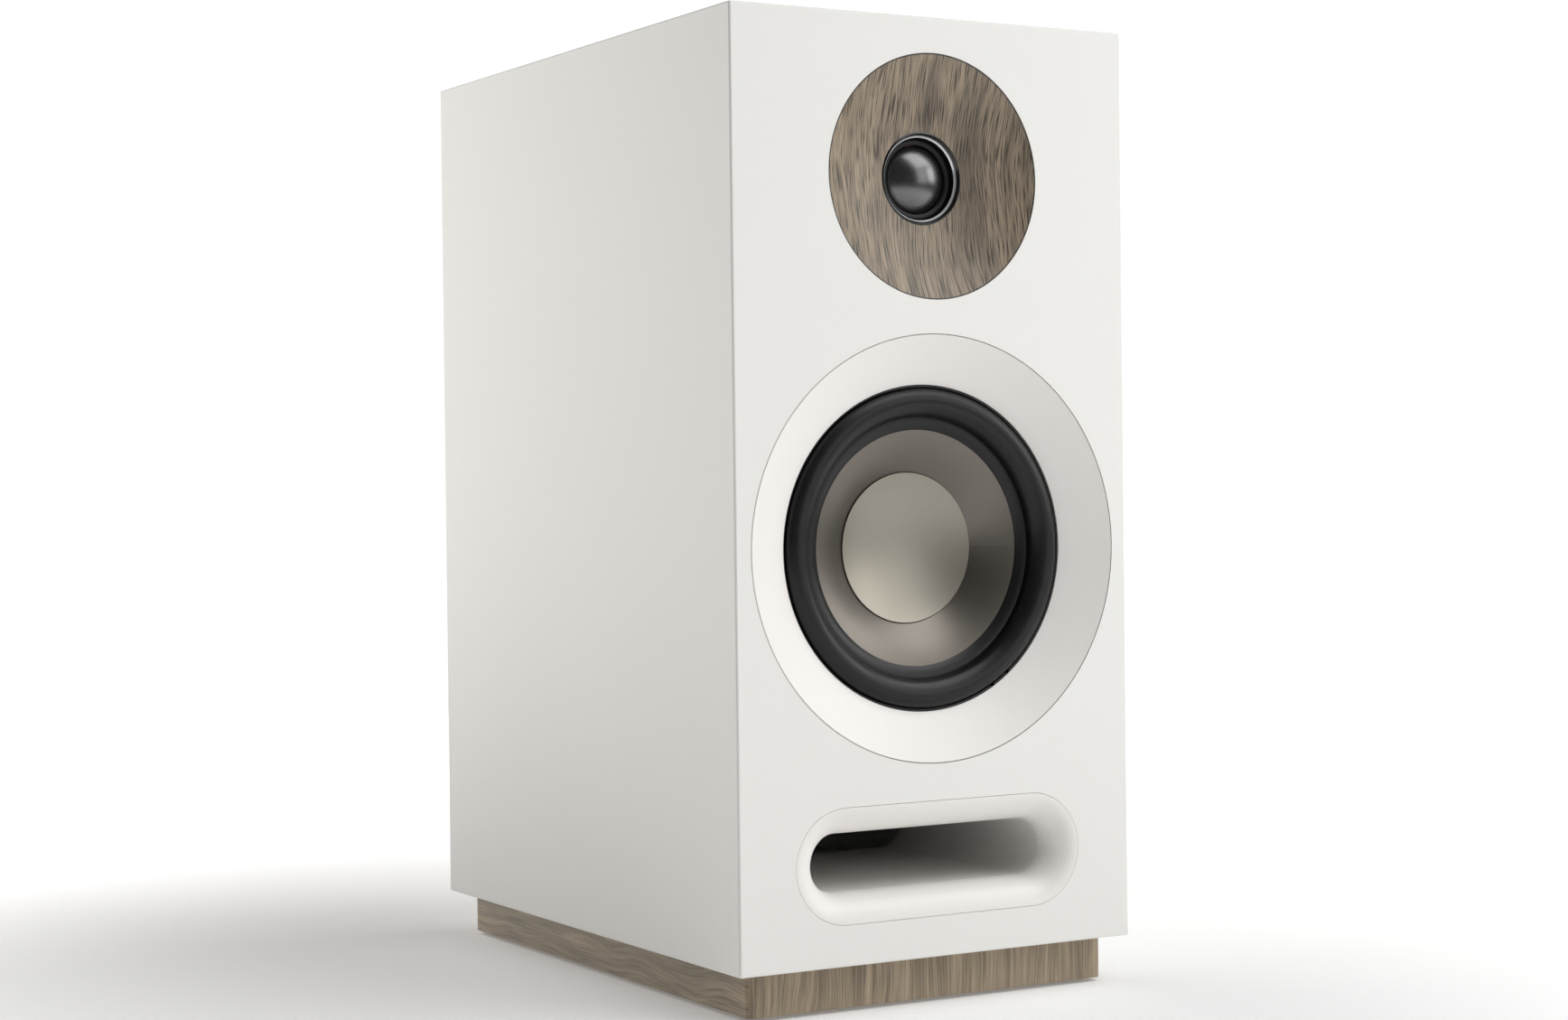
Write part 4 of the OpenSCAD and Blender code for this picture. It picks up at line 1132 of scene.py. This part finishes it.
    def build(self) -> None:
        """Makes the soft pieces and dresses the CAD nodes."""
        for piece in (self.surround(), self.spider(), self.leads()):
            log.info("woofer: %s", piece.name)
        centre = self.axis.height / MM
        steel = turned_steel("zinc_plate", centre)
        casting = Metal("basket_coat", (0.014, 0.014, 0.015), 0.5, 0.1, Brushing.CAST, depth=0.03)
        cone = Metal("cone_coating", tone(112, 107, 100), 0.36, 0.92, pitch=0.28, contrast=0.14)
        cap = Metal("cap_coating", tone(154, 149, 138), 0.44, 0.9, pitch=0.28, contrast=0.14)
        finish(self.stock.white, "woofer_trim_ring")
        finish(self.stock.black, "woofer_clamp_ring")
        finish(cone.material(), "woofer_cone")
        finish(cap.material(), "woofer_dust_cap")
        finish(Moulding(
            "former_film", tone(196, 178, 120),
            roughness=0.35,
        ).material(), "woofer_coil_former")
        finish(self.stock.coil, "woofer_voice_coil")
        finish(steel.material(), "woofer_top_plate", "woofer_yoke")
        finish(self.stock.ferrite, "woofer_magnet")
        finish(casting.material(), "woofer_basket")
        finish(self.stock.screw, "woofer_screws")
        finish(self.stock.tin, "woofer_terminal_strip")


@dataclass
class Tweeter:
    """The tweeter: its soft surround is made here, round the CAD dome, ring, disc and motor."""

    stock: Stock
    dome_r: float = 12.7
    roll_w: float = 2.8
    roll_rise: float = 1.1
    flange_w: float = 2.6
    flange_top: float = 13.4
    flange_t: float = 0.5
    seam: float = 0.1
    skin: float = 0.2
    roll_steps: int = 24
    axis: Axis = field(init=False)
    disc_r: float = field(init=False)

    def __post_init__(self) -> None:
        """Finds the axis and radius from the disc's box."""
        low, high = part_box("tweeter_disc")
        self.axis = Axis(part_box("front_baffle")[0].y, (low.z + high.z) / 2)
        self.disc_r = (high.z - low.z) / 2 / MM

    def surround(self) -> bpy.types.Object:
        """Makes the half roll between the dome and the clamped flange."""
        inner = self.dome_r + self.seam
        outer = inner + self.roll_w
        mid, half = (inner + outer) / 2, self.roll_w / 2
        over, under = [], []
        for k in range(self.roll_steps + 1):
            turn = math.pi * k / self.roll_steps
            over.append((mid + half * math.cos(turn), self.flange_top - self.roll_rise * math.sin(turn)))
            depth = self.flange_top + self.skin - self.roll_rise * math.sin(turn)
            under.append((mid + (half - self.skin) * math.cos(turn), depth))
        back = self.flange_top + self.flange_t
        flange = [(outer, back), (outer + self.flange_w, back), (outer + self.flange_w, self.flange_top)]
        piece = turned("tweeter_soft_surround", flange + over + list(reversed(under)), self.axis)
        stretch(piece, radial_share(self.axis, inner, outer))
        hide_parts("tweeter_surround")
        dress(piece, Rubber("tweeter_roll", grain=0.1, roughness=0.5).material())
        return piece

    def build(self) -> None:
        """Makes the soft surround and dresses the CAD nodes."""
        log.info("tweeter: %s", self.surround().name)
        centre = self.axis.height / MM
        # the heart above the dome is grain figure; the one right of the dome is partly a darker band and
        # partly painted shade of the dished disc
        hearts_and_shade = ((2.5, centre + 28.0, 4.5, 16.0), (21.0, centre + 4.0, 11.0, 44.0))
        # the disc print's round edge is darkened as painted seam shadow
        disc = WoodPrint("disc_print", GrainRun.UPRIGHT, hearts_and_shade=hearts_and_shade, rim=(centre, self.disc_r))
        steel = turned_steel("zinc_plate_small", centre)
        dome = Moulding(
            "dome_coat", (0.004, 0.004, 0.0044),
            roughness=0.27, grain=0.25, grain_depth=0.001, unevenness=0.2, gloss_index=2.1,
        )
        finish(disc.material(), "tweeter_disc")
        # the ring's bright bead line is a painted highlight
        finish(RimWithPaintedHighlight("gloss_black", centre).material(), "tweeter_ring")
        finish(dome.material(), "tweeter_dome")
        finish(self.stock.black, "tweeter_plate", "tweeter_rear_cup")
        finish(self.stock.coil, "tweeter_voice_coil")
        finish(steel.material(), "tweeter_top_plate", "tweeter_yoke")
        finish(self.stock.ferrite, "tweeter_magnet")
        finish(self.stock.tin, "tweeter_terminals")
        finish(self.stock.screw, "tweeter_screws")


@dataclass
class Port:
    """The slot port: its flared flange and the duct behind it."""

    stock: Stock
    duct: Moulding = Moulding(
        "duct_plastic", tone(232, 229, 226),
        roughness=0.45, grain=0.6, grain_depth=0.006, unevenness=0.04,
    )

    def build(self) -> None:
        """Dresses the flange and duct."""
        finish(self.stock.white, "port_flange")
        finish(self.duct.material(), "port_tube")


@dataclass
class RearTerminals:
    """The recessed cup with its two binding posts."""

    stock: Stock
    gold: Metal = Metal("gold_plate", tone(226, 186, 102), roughness=0.22, pitch=0.15)
    red: Moulding = Moulding(
        "red_knob", tone(150, 14, 16),
        roughness=0.25, grain=0.4, grain_depth=0.002, unevenness=0.1, coat=0.3,
    )
    black: Moulding = Moulding(
        "black_knob", (0.009, 0.009, 0.009),
        roughness=0.25, grain=0.4, grain_depth=0.002, unevenness=0.1, coat=0.3,
    )

    def build(self) -> None:
        """Dresses the cup, posts, knobs and the hardware behind them."""
        finish(self.stock.black, "terminal_cup")
        finish(self.stock.screw, "terminal_cup_screws")
        posts = ("positive_post", "negative_post", "positive_clamp_washer", "negative_clamp_washer")
        finish(self.gold.material(), *posts)
        finish(self.red.material(), "positive_knob")
        finish(self.black.material(), "negative_knob")
        finish(self.stock.tin, "post_nuts", "solder_tags")


@dataclass
class Crossover:
    """The board on the rear panel, its components and the wires from it."""

    stock: Stock
    tape: Moulding = Moulding(
        "capacitor_tape", tone(222, 186, 42),
        roughness=0.28, grain=0.9, grain_depth=0.01, unevenness=0.12, coat=0.3,
    )
    cement: Foam = Foam("white_cement", tone(222, 220, 210), pore=0.5, depth=0.06)

    def build(self) -> None:
        """Dresses the board, components and wires."""
        finish(CircuitBoard().material(), "crossover_board")
        finish(Moulding("nylon", tone(222, 216, 196), roughness=0.4).material(), "crossover_spacers")
        finish(self.stock.tin, "crossover_screws")
        finish(Winding("inductor_wire", wire=0.9).material(), "air_core_coils")
        finish(self.tape.material(), "film_capacitors")
        finish(self.cement.material(), "cement_resistors")
        finish(Moulding("red_wire", tone(150, 20, 22), roughness=0.4).material(), "input_wires")
        finish(Moulding("blue_wire", tone(24, 32, 120), roughness=0.4).material(), "woofer_wires")
        finish(Moulding("black_wire", (0.01, 0.01, 0.01), roughness=0.4).material(), "tweeter_wires")


# --- camera, light and floor ---


@dataclass(frozen=True)
class Viewpoint:
    """The camera, placed from the middle of the cabinet's lower front edge."""

    place_mm: Point = (-569.5, -871.3, 178.6)
    azimuth: float = -30.03
    elevation: float = 0.675
    roll: float = -0.654
    lens: float = 64.37
    sensor: float = 36.0
    clip: tuple[float, float] = (0.01, 100.0)

    def build(self) -> bpy.types.Object:
        """Makes the camera and makes it the scene's."""
        data = bpy.data.cameras.new("camera")
        data.lens, data.sensor_width = self.lens, self.sensor
        data.clip_start, data.clip_end = self.clip
        camera = bpy.data.objects.new("camera", data)
        bpy.context.scene.collection.objects.link(camera)
        a, e, r = (math.radians(v) for v in (self.azimuth, self.elevation, self.roll))
        back = Vector((math.sin(a) * math.cos(e), -math.cos(a) * math.cos(e), math.sin(e)))
        right = Vector((math.cos(a), math.sin(a), 0.0))
        up = back.cross(right)
        across = right * math.cos(r) + up * math.sin(r)
        upward = up * math.cos(r) - right * math.sin(r)
        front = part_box("front_baffle")[0]
        origin = Vector((0.0, front.y, front.z))
        camera.matrix_world = Matrix.Translation(origin + Vector(self.place_mm) * MM) @ Matrix(
            (across, upward, back)
        ).transposed().to_4x4()
        bpy.context.scene.camera = camera
        return camera


@dataclass(frozen=True)
class Softbox:
    """One soft studio light, aimed at the middle of the cabinet."""

    name: str
    place: Point
    size: tuple[float, float]
    power: float
    colour: Colour = WHITE

    def build(self, target: Vector) -> None:
        """Makes the light.

        Args:
            target: the point it faces.
        """
        data = bpy.data.lights.new(self.name, "AREA")
        data.shape, data.size, data.size_y = "RECTANGLE", *self.size
        data.energy, data.color = self.power, self.colour
        lamp = bpy.data.objects.new(self.name, data)
        bpy.context.scene.collection.objects.link(lamp)
        lamp.location = self.place
        lamp.rotation_euler = (Vector(self.place) - target).to_track_quat("Z", "Y").to_euler()


@dataclass(frozen=True)
class StudioFloor:
    """White paper that glows more and more away from the object, up to the white behind it."""

    name: str = "floor_paper"
    colour: Colour = (0.86, 0.86, 0.86)
    near: float = 150.0
    far: float = 760.0
    near_glow: Colour = (0.2, 0.2, 0.2)
    glow: float = 0.8
    roughness: float = 0.9
    fibre: float = 4.0
    fibre_tone: float = 0.985

    def material(self) -> bpy.types.Material:
        """Makes the material."""
        shade = Shade(self.name)
        x, y, _ = shade.position()
        away = (x * x + y * y).root().ramp(self.near, self.far)
        paper = shade.blend(shade.grain(self.fibre), scaled(self.colour, self.fibre_tone), self.colour)
        shade.set(Base_Color=paper, Roughness=self.roughness)
        shade.set(Emission_Color=shade.blend(away, self.near_glow, WHITE))
        shade.set(Emission_Strength=self.glow)
        return shade.material


@dataclass(frozen=True)
class Studio:
    """Pale floor, white surroundings and soft light."""

    surround_light: float = 0.1
    backdrop: float = 1.05
    floor_radius: float = 1.2
    floor_sides: int = 96
    softboxes: tuple[Softbox, ...] = (
        Softbox("overhead", (0.9, -0.85, 1.75), (1.9, 1.5), 29.0),
        Softbox("right_key", (2.0, -1.15, 0.85), (0.9, 1.0), 11.0),
        Softbox("front_fill", (1.4, -2.3, 0.8), (1.2, 1.3), 9.0),
        Softbox("left_rear", (-0.56, 1.75, 0.5), (1.0, 1.4), 27.0, (1.0, 0.975, 0.94)),
    )

    def world(self) -> None:
        """Surroundings that light evenly and look white behind the object."""
        world = bpy.data.worlds.new("studio")
        world.use_nodes = True
        world.node_tree.nodes.clear()
        nodes = Nodes(world.node_tree)
        ray = nodes.node("ShaderNodeLightPath", {}, {})
        lit, seen = (
            nodes.node("ShaderNodeBackground", {}, {"Color": WHITE, "Strength": strength}).outputs[0]
            for strength in (self.surround_light, self.backdrop)
        )
        mix = nodes.node("ShaderNodeMixShader", {}, {0: ray.outputs["Is Camera Ray"], 1: lit, 2: seen})
        nodes.node("ShaderNodeOutputWorld", {}, {"Surface": mix.outputs[0]})
        bpy.context.scene.world = world

    def floor(self) -> None:
        """A round pale floor."""
        turns = [2 * math.pi * k / self.floor_sides for k in range(self.floor_sides)]
        rim = [(self.floor_radius * math.cos(t), self.floor_radius * math.sin(t), 0.0) for t in turns]
        piece = new_piece("studio_floor", rim, [tuple(range(self.floor_sides))])
        dress(piece, StudioFloor().material())

    def build(self) -> None:
        """Makes the whole studio."""
        self.world()
        self.floor()
        target = (CAD_LOW + CAD_HIGH) / 2
        for softbox in self.softboxes:
            softbox.build(target)
        bpy.context.scene.view_settings.view_transform = "Standard"


def main() -> None:
    """Builds the camera and studio, the soft pieces and every finish."""
    logging.basicConfig(level=logging.INFO, format="%(name)s %(message)s")
    Viewpoint().build()
    Studio().build()
    stock = Stock()
    woofer, tweeter = Woofer(stock), Tweeter(stock)
    disc, trim = (tweeter.axis.height / MM, tweeter.disc_r), (woofer.axis.height / MM, woofer.trim_r)
    cabinet = Cabinet(stock, disc, trim)
    for part in (cabinet, woofer, tweeter, Port(stock), RearTerminals(stock), Crossover(stock)):
        part.build()


if __name__ == "__main__":
    main()
